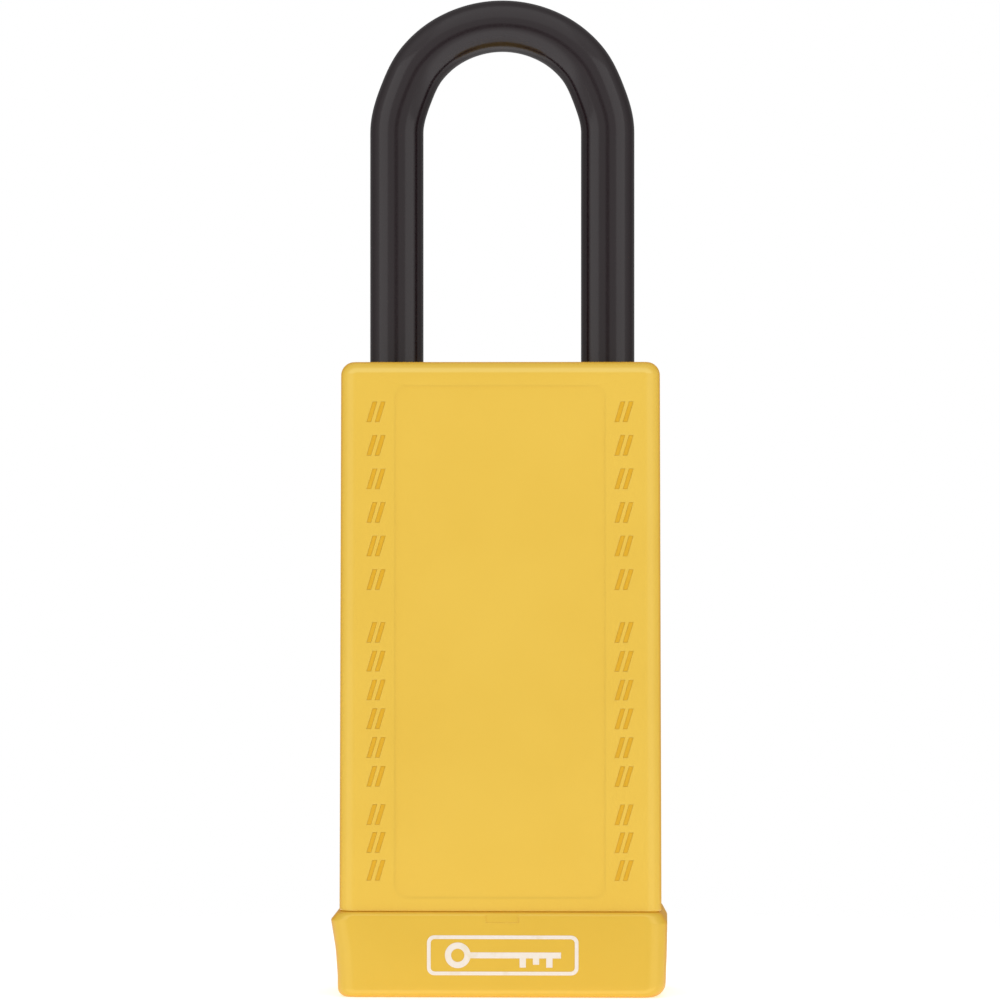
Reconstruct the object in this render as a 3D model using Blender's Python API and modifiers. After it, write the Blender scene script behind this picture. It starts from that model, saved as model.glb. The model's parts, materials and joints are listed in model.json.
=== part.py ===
"""Safety padlock: a covered body, a plastic-sleeved steel shackle and a six-pin cylinder.

The constants are in millimetres, and MM turns them into metres where a shape is made. The origin
is at the bottom centre of the base cap, with X to the right, the front towards -Y and Z up.
The rest pose is the shackle closed and the cylinder turned to its open position.
"""
import math

import bmesh
import bpy
from mathutils import Matrix, Vector

MM = 0.001
AXIS_X = Vector((1.0, 0.0, 0.0))
AXIS_Y = Vector((0.0, 1.0, 0.0))
AXIS_Z = Vector((0.0, 0.0, 1.0))

# Roundness of the turned and drilled shapes
ROUND_SIDES = 24
FINE_SIDES = 32
SMALL_SIDES = 12
MERGE_DISTANCE = 0.00001
SMOOTH_ANGLE = math.radians(35.0)
THROUGH = 0.5          # how far a cutter stands out of what it cuts

# Shackle: a steel U in a plastic sheath
LEG_X = 12.85
CORE_RADIUS = 2.5
SHEATH_RADIUS = 3.25
SHEATH_WALL = 0.6
SHEATH_END_Z = 73.0
BEND_CENTRE_Z = 104.5
BEND_STEPS = 16
TOE_END_Z = 63.4
HEEL_END_Z = 42.0
END_CHAMFER = 0.6
NECK_RADIUS = 2.0
NECK_LOW_Z = 52.7
NECK_HIGH_Z = 70.0
ROD_RESOLUTION = 6     # gives a rod of 16 sides

# Locking balls and the cam between them
BALL_Z = 68.0
BALL_RADIUS = 3.2
BALL_LOCKED_X = 8.45
BALL_OPEN_RIGHT = 7.0
BALL_OPEN_LEFT = 7.5
NOTCH_RADIUS = 3.4
CAM_LOW_Z = 64.0
CAM_HIGH_Z = 72.0
CAM_LARGEST = 5.15
CAM_BALL_GAP = 0.1
CAM_SIDES = 48
CAM_TURN_STEPS = 30
QUARTER_TURN = math.pi / 2.0

# Drive shaft with a flat blade at each end
SHAFT_RADIUS = 2.5
SHAFT_LOW_Z = 32.9
SHAFT_HIGH_Z = 63.7
BLADE_REACH = 2.5
BLADE_HALF_WIDTH = 1.0
BLADE_HALF_LENGTH = 2.25
BLADE_SLOT_HALF_WIDTH = 1.2
BLADE_SLOT_DEPTH = 2.5
SPACER_RADIUS = 5.3
SPACER_BORE = 2.8
SPACER_LOW_Z = 31.4

# Lock body inside the cover
BODY_HALF_X = 17.0
BODY_HALF_Y = 7.8
BODY_LOW_Z = 2.6
BODY_HIGH_Z = 73.7
BODY_CORNER = 1.5
LEG_BORE = 2.7
HEEL_BORE_LOW_Z = 25.7
TOE_BORE_LOW_Z = 62.8
SHEATH_BORE = 3.5
SHEATH_BORE_LOW_Z = 72.4
BALL_CHANNEL = 3.4
CAM_BORE = 5.5
CAM_BORE_HIGH_Z = 72.4
CYLINDER_BORE = 6.9
CYLINDER_BORE_HIGH_Z = 30.3
SCREW_BORE = 2.2

# Cylinder: a round housing with a block on its side that holds the driver pins
HOUSING_RADIUS = 6.6
HOUSING_LOW_Z = 2.9
HOUSING_HIGH_Z = 30.0
HOUSING_BORE = 4.95
BLOCK_HALF_Y = 3.4
BLOCK_END_X = 15.0
BLOCK_GAP = 0.3
PLUG_RADIUS = 4.7
PLUG_BARREL_HIGH_Z = 29.0
TAIL_RADIUS = 3.5
TAIL_HIGH_Z = 32.6
GROOVE_RADIUS = 2.9
GROOVE_LOW_Z = 30.2
GROOVE_HIGH_Z = 31.2
KEYWAY_HIGH_Z = 27.6
PIN_COUNT = 6
PIN_FIRST_Z = 6.8
PIN_PITCH = 3.8
PIN_RADIUS = 1.35
PIN_CHAMFER = 0.3
CHAMBER_RADIUS = 1.5
CHAMBER_FLOOR = -0.2
KEY_PIN_FOOT = 0.1
SHEAR_LINE = 4.6
KEY_PIN_LIFTS = (0.9, 0.5, 1.3, 0.7, 1.1, 0.4)
DRIVER_START_X = 4.9
DRIVER_LENGTH = 4.0
COVER_STRIP_X = 14.1
COVER_STRIP_THICK = 0.7
COVER_STRIP_HALF_Y = 1.9
COVER_STRIP_Z = (4.7, 27.9)
STRIP_GAP = 0.2
SCREW_RADIUS = 2.0
SCREW_TIP_RADIUS = 1.2
SCREW_TIP_LOW_Z = 29.1
SCREW_SHOULDER_Z = 30.7
SCREW_HIGH_Z = 40.0

# Springs
SHACKLE_SPRING_Z = (26.0, 41.7)
SHACKLE_SPRING_RADIUS = 1.85
SHACKLE_SPRING_WIRE = 0.35
SHACKLE_SPRING_TURNS = 8
PIN_SPRING_X = (9.2, 13.8)
PIN_SPRING_RADIUS = 0.95
PIN_SPRING_WIRE = 0.17
PIN_SPRING_TURNS = 4

# Cover: a drafted sleeve, closed at the top, with a shallow panel on its front
COVER_HALF_X_LOW = 19.4
COVER_HALF_X_HIGH = 19.2
COVER_HALF_Y = 10.0
COVER_LOW_Z = 10.6
COVER_HIGH_Z = 76.3
COVER_CEILING_Z = 74.0
COVER_CORNER = 2.0
COVER_TOP_EDGE = 1.8
COVER_BOTTOM_EDGE = 0.35
HOLLOW_HALF_X = 17.2
HOLLOW_HALF_Y = 8.0
HOLLOW_CORNER = 1.3
PANEL_HALF_X = 12.55
PANEL_LOW_Z = 11.3
PANEL_HIGH_Z = 73.0
PANEL_DEPTH = 0.25
PANEL_CORNER = 1.2

# Base cap: a cup under the cover, whose left side leans out to a lip to lever it off by
CAP_LEFT_X = -20.2
CAP_RIGHT_X = 20.0
CAP_HALF_Y = 10.6
CAP_HIGH_Z = 10.3
CAP_FLOOR = 2.3
CAP_CORNER = 2.4
CAP_BOTTOM_EDGE = 1.2
CAP_TOP_EDGE = 0.35
CAP_FLANK = ((-19.6, 2.6), (-19.85, 5.8), (-20.2, 8.7), (-18.6, 10.3))
KEY_OPENING = 5.2
LEDGE_X = (-1.7, 2.3)
LEDGE_LOW_Z = 9.0
LEDGE_DEPTH = 0.25


def clear_scene():
    """Remove every object that the file holds."""
    for old in list(bpy.data.objects):
        bpy.data.objects.remove(old, do_unlink=True)


def make_collection(name):
    """A new collection in the scene."""
    collection = bpy.data.collections.new(name)
    bpy.context.scene.collection.children.link(collection)
    return collection


clear_scene()
PARTS = make_collection("safety_padlock")
CUTTERS = make_collection("cutters")


def make_material(name, colour, roughness, metallic=0.0):
    """A Principled material of one colour."""
    material = bpy.data.materials.new(name)
    material.use_nodes = True
    shader = material.node_tree.nodes["Principled BSDF"]
    shader.inputs["Base Color"].default_value = (*colour, 1.0)
    shader.inputs["Roughness"].default_value = roughness
    shader.inputs["Metallic"].default_value = metallic
    return material


def finish(part, colour, roughness, metallic=0.0):
    """Name a part's mesh and material after the part, and shade its round faces smooth."""
    part.data.name = part.name
    part.data.materials.clear()
    part.data.materials.append(make_material(part.name, colour, roughness, metallic))
    if part.type == "MESH":
        part.data.shade_smooth()
        part.data.set_sharp_from_angle(angle=SMOOTH_ANGLE)
    return part


def add_object(name, data, as_cutter=False):
    """Put mesh or curve data in the scene, either as a part or as a cutter."""
    new = bpy.data.objects.new(name, data)
    if as_cutter:
        CUTTERS.objects.link(new)
        new.hide_render = True
        new.display_type = "WIRE"
    else:
        PARTS.objects.link(new)
    return new


def object_from_bmesh(name, shape, as_cutter=False):
    """Turn a bmesh into an object."""
    mesh = bpy.data.meshes.new(name)
    shape.to_mesh(mesh)
    shape.free()
    return add_object(name, mesh, as_cutter)


def pivot(name, location=(0.0, 0.0, 0.0)):
    """An empty that marks a moving group's axis."""
    empty = add_object(name, None)
    empty.location = Vector(location) * MM
    return empty


def hang_on(empty, *parts):
    """Parent parts to an empty without moving them."""
    for part in parts:
        part.parent = empty
        part.matrix_parent_inverse = Matrix.Translation(-empty.location)


def round_edges(shape, chosen, radius, segments):
    """Bevel the edges of a bmesh that a test picks out."""
    picked = [edge for edge in shape.edges if chosen(edge)]
    bmesh.ops.bevel(shape, geom=picked, offset=radius * MM, segments=segments, profile=0.5,
                    affect="EDGES", clamp_overlap=True)


def on_level(height):
    """A test for edges that lie flat at one height, in millimetres."""
    def test(edge):
        return all(abs(vert.co.z - height * MM) < MERGE_DISTANCE for vert in edge.verts)
    return test


def upright(edge):
    """A test for edges that run up a block's corners."""
    rise = abs(edge.verts[0].co.z - edge.verts[1].co.z)
    return rise > 0.9 * edge.calc_length()


def block(name, low, high, corner=0.0, bottom=0.0, top=0.0, top_shrink=1.0, as_cutter=False):
    """A box between two corners, with rounded upright, bottom and top edges."""
    shape = bmesh.new()
    bmesh.ops.create_cube(shape, size=1.0)
    low, high = Vector(low), Vector(high)
    size = (high - low) * MM
    bmesh.ops.scale(shape, verts=shape.verts, vec=size)
    upper = [vert for vert in shape.verts if vert.co.z > 0.0]
    bmesh.ops.scale(shape, verts=upper, vec=(top_shrink, 1.0, 1.0))
    bmesh.ops.translate(shape, verts=shape.verts, vec=(low + high) * 0.5 * MM)
    if corner:
        round_edges(shape, upright, corner, 4)
    if bottom:
        round_edges(shape, on_level(low.z), bottom, 2)
    if top:
        round_edges(shape, on_level(high.z), top, 2)
    return object_from_bmesh(name, shape, as_cutter)


def rod(name, radius, start, end, sides=ROUND_SIDES, as_cutter=False):
    """A cylinder from one point to another."""
    start, end = Vector(start) * MM, Vector(end) * MM
    length = (end - start).length
    shape = bmesh.new()
    bmesh.ops.create_cone(shape, cap_ends=True, segments=sides, radius1=radius * MM,
                          radius2=radius * MM, depth=length)
    bmesh.ops.translate(shape, verts=shape.verts, vec=AXIS_Z * length * 0.5)
    made = object_from_bmesh(name, shape, as_cutter)
    made.location = start
    made.rotation_euler = (end - start).to_track_quat("Z", "Y").to_euler()
    return made


def ball(name, radius, centre, segments, rings, as_cutter=False):
    """A sphere."""
    shape = bmesh.new()
    bmesh.ops.create_uvsphere(shape, u_segments=segments, v_segments=rings, radius=radius * MM)
    made = object_from_bmesh(name, shape, as_cutter)
    made.location = Vector(centre) * MM
    return made


def turned(name, profile, location=(0.0, 0.0, 0.0), direction=AXIS_Z, sides=ROUND_SIDES,
           closed=False, as_cutter=False):
    """A turned shape from radius and height pairs that run down its outer side."""
    mesh = bpy.data.meshes.new(name)
    points = [(radius * MM, 0.0, height * MM) for radius, height in profile]
    edges = [(i, i + 1) for i in range(len(points) - 1)]
    if closed:
        edges.append((len(points) - 1, 0))
    mesh.from_pydata(points, edges, [])
    made = add_object(name, mesh, as_cutter)
    screw = made.modifiers.new("turn", "SCREW")
    screw.steps = sides
    screw.render_steps = sides
    screw.use_merge_vertices = True
    screw.merge_threshold = MERGE_DISTANCE
    screw.use_smooth_shade = False
    made.location = Vector(location) * MM
    made.rotation_euler = direction.to_track_quat("Z", "Y").to_euler()
    return made


def curve_to_mesh(curve_object, name, as_cutter=False):
    """Make a curve object a closed mesh in the same place."""
    bpy.context.view_layer.update()
    evaluated = curve_object.evaluated_get(bpy.context.evaluated_depsgraph_get())
    mesh = bpy.data.meshes.new_from_object(evaluated)
    shape = bmesh.new()
    shape.from_mesh(mesh)
    bmesh.ops.remove_doubles(shape, verts=shape.verts, dist=MERGE_DISTANCE * 0.1)
    shape.to_mesh(mesh)
    shape.free()
    made = add_object(name, mesh, as_cutter)
    made.matrix_world = curve_object.matrix_world
    bpy.data.objects.remove(curve_object, do_unlink=True)
    return made


def wire(name, points, radius, resolution, capped=True, as_cutter=False):
    """A round wire or tube along points given in millimetres, as a mesh."""
    curve = bpy.data.curves.new(name, "CURVE")
    curve.dimensions = "3D"
    curve.bevel_depth = radius * MM
    curve.bevel_resolution = resolution
    curve.use_fill_caps = capped
    spline = curve.splines.new("POLY")
    spline.points.add(len(points) - 1)
    for target, point in zip(spline.points, points):
        target.co = (*(Vector(point) * MM), 1.0)
    return curve_to_mesh(add_object(name + "_path", curve), name, as_cutter)


def plate(name, outline, low, high, as_cutter=False):
    """A flat plate: an outline of (x, y) points raised from one height to another."""
    curve = bpy.data.curves.new(name, "CURVE")
    curve.dimensions = "2D"
    curve.fill_mode = "BOTH"
    curve.extrude = (high - low) * 0.5 * MM
    spline = curve.splines.new("POLY")
    spline.points.add(len(outline) - 1)
    for target, (x, y) in zip(spline.points, outline):
        target.co = (x * MM, y * MM, 0.0, 1.0)
    spline.use_cyclic_u = True
    flat = add_object(name + "_outline", curve)
    flat.location = AXIS_Z * (low + high) * 0.5 * MM
    return curve_to_mesh(flat, name, as_cutter)


def face_front(plate_object, y_front):
    """Stand a plate up so that its outline's y runs up and its thickness starts at y_front."""
    plate_object.rotation_euler = (math.pi / 2.0, 0.0, 0.0)
    plate_object.location = AXIS_Y * y_front * MM


def arc(centre, radius, start, end, steps):
    """Points along an arc, angles in radians."""
    angles = [start + (end - start) * step / steps for step in range(steps + 1)]
    return [(centre[0] + radius * math.cos(a), centre[1] + radius * math.sin(a)) for a in angles]


def combine(target, other, operation):
    """Boolean one object with another."""
    modifier = target.modifiers.new(operation.lower() + "_" + other.name, "BOOLEAN")
    modifier.operation = operation
    modifier.solver = "EXACT"
    modifier.object = other


def cut(target, *cutters):
    """Take cutters away from a part."""
    for cutter in cutters:
        combine(target, cutter, "DIFFERENCE")


def shackle_path(heel_end, toe_end):
    """Points along the shackle's middle line from the heel to the toe."""
    bend = arc((0.0, BEND_CENTRE_Z), LEG_X, math.pi, 0.0, BEND_STEPS)
    points = [(-LEG_X, 0.0, heel_end)]
    points += [(x, 0.0, z) for x, z in bend]
    points.append((LEG_X, 0.0, toe_end))
    return points


def helix(start, direction_length, radius, turns, points_per_turn):
    """Points along a coil that runs along local Z from a start height."""
    count = turns * points_per_turn
    points = []
    for step in range(count + 1):
        angle = math.tau * step / points_per_turn
        height = start + direction_length * step / count
        points.append((radius * math.cos(angle), radius * math.sin(angle), height))
    return points


def build_shackle():
    """The steel U, its plastic sheath and the spring under its long leg."""
    core = wire("shackle_core", shackle_path(HEEL_END_Z, TOE_END_Z), CORE_RADIUS, ROD_RESOLUTION)
    shape = bmesh.new()
    shape.from_mesh(core.data)
    for end_height in (TOE_END_Z, HEEL_END_Z):
        round_edges(shape, on_level(end_height), END_CHAMFER, 1)
    shape.to_mesh(core.data)
    shape.free()
    neck_ring = turned("neck_ring", [
        (CORE_RADIUS + THROUGH, NECK_HIGH_Z), (CORE_RADIUS + THROUGH, NECK_LOW_Z),
        (NECK_RADIUS, NECK_LOW_Z), (NECK_RADIUS, NECK_HIGH_Z),
    ], location=(-LEG_X, 0.0, 0.0), closed=True, as_cutter=True)
    cut(core, neck_ring)
    for side, label in ((1.0, "toe"), (-1.0, "heel")):
        cut(core, ball("notch_" + label, NOTCH_RADIUS, (side * BALL_LOCKED_X, 0.0, BALL_Z),
                       16, 12, as_cutter=True))
    finish(core, (0.62, 0.63, 0.65), 0.3, 1.0)

    sheath = wire("shackle_sheath", shackle_path(SHEATH_END_Z, SHEATH_END_Z), SHEATH_RADIUS,
                  ROD_RESOLUTION, capped=False)
    wall = sheath.modifiers.new("wall", "SOLIDIFY")
    wall.thickness = SHEATH_WALL * MM
    wall.offset = -1.0
    wall.use_even_offset = True
    finish(sheath, (0.05, 0.048, 0.048), 0.5)

    low, high = SHACKLE_SPRING_Z
    coil = wire("shackle_spring", helix(0.0, high - low, SHACKLE_SPRING_RADIUS,
                                        SHACKLE_SPRING_TURNS, 10), SHACKLE_SPRING_WIRE, 1)
    coil.location = Vector((-LEG_X, 0.0, low)) * MM
    finish(coil, (0.45, 0.46, 0.48), 0.35, 1.0)
    hang_on(pivot("shackle_guide", (-LEG_X, 0.0, HEEL_END_Z)), core, sheath)


def cam_outline():
    """Outline of the cam: as large as clears both balls at every angle of its quarter turn."""
    clear = BALL_RADIUS + CAM_BALL_GAP
    points = []
    for step in range(CAM_SIDES):
        angle = math.tau * step / CAM_SIDES
        reach = CAM_LARGEST
        for side, open_x in ((0.0, BALL_OPEN_RIGHT), (math.pi, BALL_OPEN_LEFT)):
            for turn_step in range(-CAM_TURN_STEPS, CAM_TURN_STEPS + 1):
                share = turn_step / CAM_TURN_STEPS
                distance = open_x + (BALL_LOCKED_X - open_x) * abs(share)
                offset = angle - side - share * QUARTER_TURN
                aside = distance * math.sin(offset)
                if math.cos(offset) > 0.0 and abs(aside) < clear:
                    near = distance * math.cos(offset) - math.sqrt(clear ** 2 - aside ** 2)
                    reach = min(reach, near)
        points.append((reach * math.cos(angle), reach * math.sin(angle)))
    return points


def build_ball_lock():
    """The two balls, the cam between them, and the shaft and spacer below the cam."""
    for label, x in (("right", BALL_OPEN_RIGHT), ("left", -BALL_OPEN_LEFT)):
        made = ball("ball_" + label, BALL_RADIUS, (x, 0.0, BALL_Z), 16, 10)
        finish(made, (0.75, 0.75, 0.76), 0.15, 1.0)

    cam = plate("locking_cam", cam_outline(), CAM_LOW_Z, CAM_HIGH_Z)
    reach = CAM_LARGEST + THROUGH
    cut(cam, block("cam_slot", (-reach, -BLADE_SLOT_HALF_WIDTH, CAM_LOW_Z - THROUGH),
                   (reach, BLADE_SLOT_HALF_WIDTH, CAM_LOW_Z + BLADE_SLOT_DEPTH), as_cutter=True))
    finish(cam, (0.5, 0.5, 0.52), 0.35, 1.0)

    shaft = rod("drive_shaft", SHAFT_RADIUS, (0.0, 0.0, SHAFT_LOW_Z), (0.0, 0.0, SHAFT_HIGH_Z))
    for label, low, high in (("lower", SHAFT_LOW_Z - BLADE_REACH, SHAFT_LOW_Z + 1.0),
                             ("upper", SHAFT_HIGH_Z - 1.0, SHAFT_HIGH_Z + BLADE_REACH)):
        blade = block(label + "_blade", (-BLADE_HALF_LENGTH, -BLADE_HALF_WIDTH, low),
                      (BLADE_HALF_LENGTH, BLADE_HALF_WIDTH, high), as_cutter=True)
        combine(shaft, blade, "UNION")
    finish(shaft, (0.55, 0.56, 0.58), 0.35, 1.0)

    spacer = turned("spacer_tube", [
        (SPACER_RADIUS, SHAFT_HIGH_Z), (SPACER_RADIUS, SPACER_LOW_Z),
        (TAIL_RADIUS + BLOCK_GAP, SPACER_LOW_Z), (TAIL_RADIUS + BLOCK_GAP, SHAFT_LOW_Z),
        (SPACER_BORE, SHAFT_LOW_Z), (SPACER_BORE, SHAFT_HIGH_Z),
    ], closed=True)
    finish(spacer, (0.7, 0.7, 0.71), 0.4, 1.0)
    hang_on(pivot("cam_axis"), cam, shaft)


def build_lock_body():
    """The block that holds the cylinder, the cam and the shackle's legs."""
    body = block("lock_body", (-BODY_HALF_X, -BODY_HALF_Y, BODY_LOW_Z),
                 (BODY_HALF_X, BODY_HALF_Y, BODY_HIGH_Z), corner=BODY_CORNER)
    above = BODY_HIGH_Z + THROUGH
    below = BODY_LOW_Z - THROUGH
    block_slot = BLOCK_HALF_Y + BLOCK_GAP
    cut(body, rod("heel_bore", LEG_BORE, (-LEG_X, 0.0, HEEL_BORE_LOW_Z), (-LEG_X, 0.0, above),
                  as_cutter=True))
    cut(body, rod("toe_bore", LEG_BORE, (LEG_X, 0.0, TOE_BORE_LOW_Z), (LEG_X, 0.0, above),
                  as_cutter=True))
    for side, label in ((1.0, "right"), (-1.0, "left")):
        cut(body, rod("sheath_bore_" + label, SHEATH_BORE, (side * LEG_X, 0.0, SHEATH_BORE_LOW_Z),
                      (side * LEG_X, 0.0, above), as_cutter=True))
    cut(body, rod("screw_bore", SCREW_BORE, (LEG_X, 0.0, CYLINDER_BORE_HIGH_Z - THROUGH),
                  (LEG_X, 0.0, TOE_BORE_LOW_Z + THROUGH), as_cutter=True))
    cut(body, rod("ball_channel", BALL_CHANNEL, (-LEG_X, 0.0, BALL_Z), (LEG_X, 0.0, BALL_Z),
                  as_cutter=True))
    cut(body, rod("cam_bore", CAM_BORE, (0.0, 0.0, CYLINDER_BORE_HIGH_Z - THROUGH),
                  (0.0, 0.0, CAM_BORE_HIGH_Z), as_cutter=True))
    cut(body, rod("cylinder_bore", CYLINDER_BORE, (0.0, 0.0, below),
                  (0.0, 0.0, CYLINDER_BORE_HIGH_Z), sides=FINE_SIDES, as_cutter=True))
    cut(body, block("pin_block_slot", (0.0, -block_slot, below),
                    (BLOCK_END_X + BLOCK_GAP, block_slot, CYLINDER_BORE_HIGH_Z), as_cutter=True))
    finish(body, (0.72, 0.73, 0.74), 0.4, 1.0)


def pin_height(index):
    """Height of one pin chamber's middle line."""
    return PIN_FIRST_Z + PIN_PITCH * index


def build_cylinder_housing():
    """The housing, its chamber cover, and the grub screw that keeps it in the body."""
    housing = rod("cylinder_housing", HOUSING_RADIUS, (0.0, 0.0, HOUSING_LOW_Z),
                  (0.0, 0.0, HOUSING_HIGH_Z), sides=FINE_SIDES)
    pin_block = block("pin_block", (0.0, -BLOCK_HALF_Y, HOUSING_LOW_Z),
                      (BLOCK_END_X, BLOCK_HALF_Y, HOUSING_HIGH_Z), as_cutter=True)
    combine(housing, pin_block, "UNION")
    cut(housing, rod("plug_bore", HOUSING_BORE, (0.0, 0.0, HOUSING_LOW_Z - THROUGH),
                     (0.0, 0.0, HOUSING_HIGH_Z + THROUGH), sides=FINE_SIDES, as_cutter=True))
    strip_floor = COVER_STRIP_X - STRIP_GAP
    for index in range(PIN_COUNT):
        height = pin_height(index)
        cut(housing, rod("driver_chamber_%d" % (index + 1), CHAMBER_RADIUS,
                         (HOUSING_BORE - 1.0, 0.0, height), (strip_floor + THROUGH, 0.0, height),
                         sides=SMALL_SIDES, as_cutter=True))
    strip_low, strip_high = COVER_STRIP_Z
    side = COVER_STRIP_HALF_Y + STRIP_GAP
    cut(housing, block("strip_groove", (strip_floor, -side, strip_low - STRIP_GAP),
                       (BLOCK_END_X + THROUGH, side, strip_high + STRIP_GAP), as_cutter=True))
    cut(housing, rod("screw_dimple", CHAMBER_RADIUS, (LEG_X, 0.0, SCREW_TIP_LOW_Z - STRIP_GAP),
                     (LEG_X, 0.0, HOUSING_HIGH_Z + THROUGH), sides=SMALL_SIDES, as_cutter=True))
    finish(housing, (0.72, 0.55, 0.28), 0.35, 1.0)

    strip = block("chamber_cover", (COVER_STRIP_X, -COVER_STRIP_HALF_Y, strip_low),
                  (COVER_STRIP_X + COVER_STRIP_THICK, COVER_STRIP_HALF_Y, strip_high))
    finish(strip, (0.74, 0.57, 0.3), 0.4, 1.0)

    screw = turned("housing_screw", [
        (0.0, SCREW_HIGH_Z), (SCREW_RADIUS - PIN_CHAMFER, SCREW_HIGH_Z),
        (SCREW_RADIUS, SCREW_HIGH_Z - PIN_CHAMFER), (SCREW_RADIUS, SCREW_SHOULDER_Z + PIN_CHAMFER),
        (SCREW_TIP_RADIUS, SCREW_SHOULDER_Z), (SCREW_TIP_RADIUS, SCREW_TIP_LOW_Z),
        (0.0, SCREW_TIP_LOW_Z),
    ], location=(LEG_X, 0.0, 0.0), sides=SMALL_SIDES)
    cut(screw, rod("screw_socket", SCREW_TIP_RADIUS, (LEG_X, 0.0, SCREW_HIGH_Z - SCREW_RADIUS),
                   (LEG_X, 0.0, SCREW_HIGH_Z + THROUGH), sides=6, as_cutter=True))
    finish(screw, (0.3, 0.3, 0.31), 0.4, 1.0)


def keyway_outline():
    """A narrow key profile with one step to each side, on the plug's face."""
    half, step = 0.55, 1.1
    return [(-half, 2.9), (-half, 1.2), (-step, 0.9), (-step, -1.2), (-half, -1.5), (-half, -3.9),
            (half, -3.9), (step, -3.6), (step, -2.0), (half, -1.7), (half, 2.9)]


def build_plug():
    """The plug with its keyway, chambers and drive slot, and the ring that holds it in."""
    plug = turned("plug", [
        (0.0, TAIL_HIGH_Z), (TAIL_RADIUS, TAIL_HIGH_Z), (TAIL_RADIUS, GROOVE_HIGH_Z),
        (GROOVE_RADIUS, GROOVE_HIGH_Z), (GROOVE_RADIUS, GROOVE_LOW_Z),
        (TAIL_RADIUS, GROOVE_LOW_Z), (TAIL_RADIUS, PLUG_BARREL_HIGH_Z),
        (PLUG_RADIUS, PLUG_BARREL_HIGH_Z), (PLUG_RADIUS, HOUSING_LOW_Z), (0.0, HOUSING_LOW_Z),
    ], sides=FINE_SIDES)
    cut(plug, plate("keyway", keyway_outline(), HOUSING_LOW_Z - THROUGH, KEYWAY_HIGH_Z,
                    as_cutter=True))
    for index in range(PIN_COUNT):
        height = pin_height(index)
        cut(plug, rod("plug_chamber_%d" % (index + 1), CHAMBER_RADIUS,
                      (0.0, CHAMBER_FLOOR, height), (0.0, PLUG_RADIUS + THROUGH, height),
                      sides=SMALL_SIDES, as_cutter=True))
    reach = TAIL_RADIUS + THROUGH
    cut(plug, block("tail_slot", (-reach, -BLADE_SLOT_HALF_WIDTH, TAIL_HIGH_Z - BLADE_SLOT_DEPTH),
                    (reach, BLADE_SLOT_HALF_WIDTH, TAIL_HIGH_Z + THROUGH), as_cutter=True))
    finish(plug, (0.76, 0.6, 0.32), 0.3, 1.0)

    gap = math.radians(35.0)
    ring = arc((0.0, 0.0), 5.2, -QUARTER_TURN + gap, 3.0 * QUARTER_TURN - gap, 20)
    ring += arc((0.0, 0.0), GROOVE_RADIUS + 0.15, 3.0 * QUARTER_TURN - gap, -QUARTER_TURN + gap, 20)
    clip = plate("plug_clip", ring, GROOVE_LOW_Z + 0.15, GROOVE_HIGH_Z - 0.15)
    finish(clip, (0.4, 0.4, 0.42), 0.35, 1.0)
    plug_axis = pivot("plug_axis")
    hang_on(plug_axis, plug, clip)
    return plug_axis


def build_pins(plug_axis):
    """Six key pins in the plug, and six driver pins with their springs in the housing."""
    spring_low, spring_high = PIN_SPRING_X
    for index, lift in enumerate(KEY_PIN_LIFTS):
        number = index + 1
        height = pin_height(index)
        length = SHEAR_LINE - lift - KEY_PIN_FOOT
        key_pin = turned("key_pin_%d" % number, [
            (0.0, length), (PIN_RADIUS - 0.2, length), (PIN_RADIUS, length - 0.2),
            (PIN_RADIUS, 0.8), (0.4, 0.0), (0.0, 0.0),
        ], location=(0.0, KEY_PIN_FOOT, height), direction=AXIS_Y, sides=SMALL_SIDES)
        finish(key_pin, (0.7, 0.52, 0.24), 0.3, 1.0)
        hang_on(plug_axis, key_pin)

        driver = turned("driver_pin_%d" % number, [
            (0.0, DRIVER_LENGTH), (PIN_RADIUS - PIN_CHAMFER, DRIVER_LENGTH),
            (PIN_RADIUS, DRIVER_LENGTH - PIN_CHAMFER), (PIN_RADIUS, PIN_CHAMFER),
            (PIN_RADIUS - PIN_CHAMFER, 0.0), (0.0, 0.0),
        ], location=(DRIVER_START_X, 0.0, height), direction=AXIS_X, sides=SMALL_SIDES)
        finish(driver, (0.62, 0.62, 0.64), 0.3, 1.0)

        coil = wire("pin_spring_%d" % number,
                    helix(0.0, spring_high - spring_low, PIN_SPRING_RADIUS, PIN_SPRING_TURNS, 8),
                    PIN_SPRING_WIRE, 1)
        coil.location = Vector((spring_low, 0.0, height)) * MM
        coil.rotation_euler = AXIS_X.to_track_quat("Z", "Y").to_euler()
        finish(coil, (0.6, 0.61, 0.63), 0.3, 1.0)


def rounded_rectangle(left, right, bottom, top, radius):
    """Outline of a rectangle with round corners."""
    corners = ((right - radius, bottom + radius), (right - radius, top - radius),
               (left + radius, top - radius), (left + radius, bottom + radius))
    points = []
    for index, corner in enumerate(corners):
        start = QUARTER_TURN * (index - 1)
        points += arc(corner, radius, start, start + QUARTER_TURN, 4)
    return points


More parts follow.
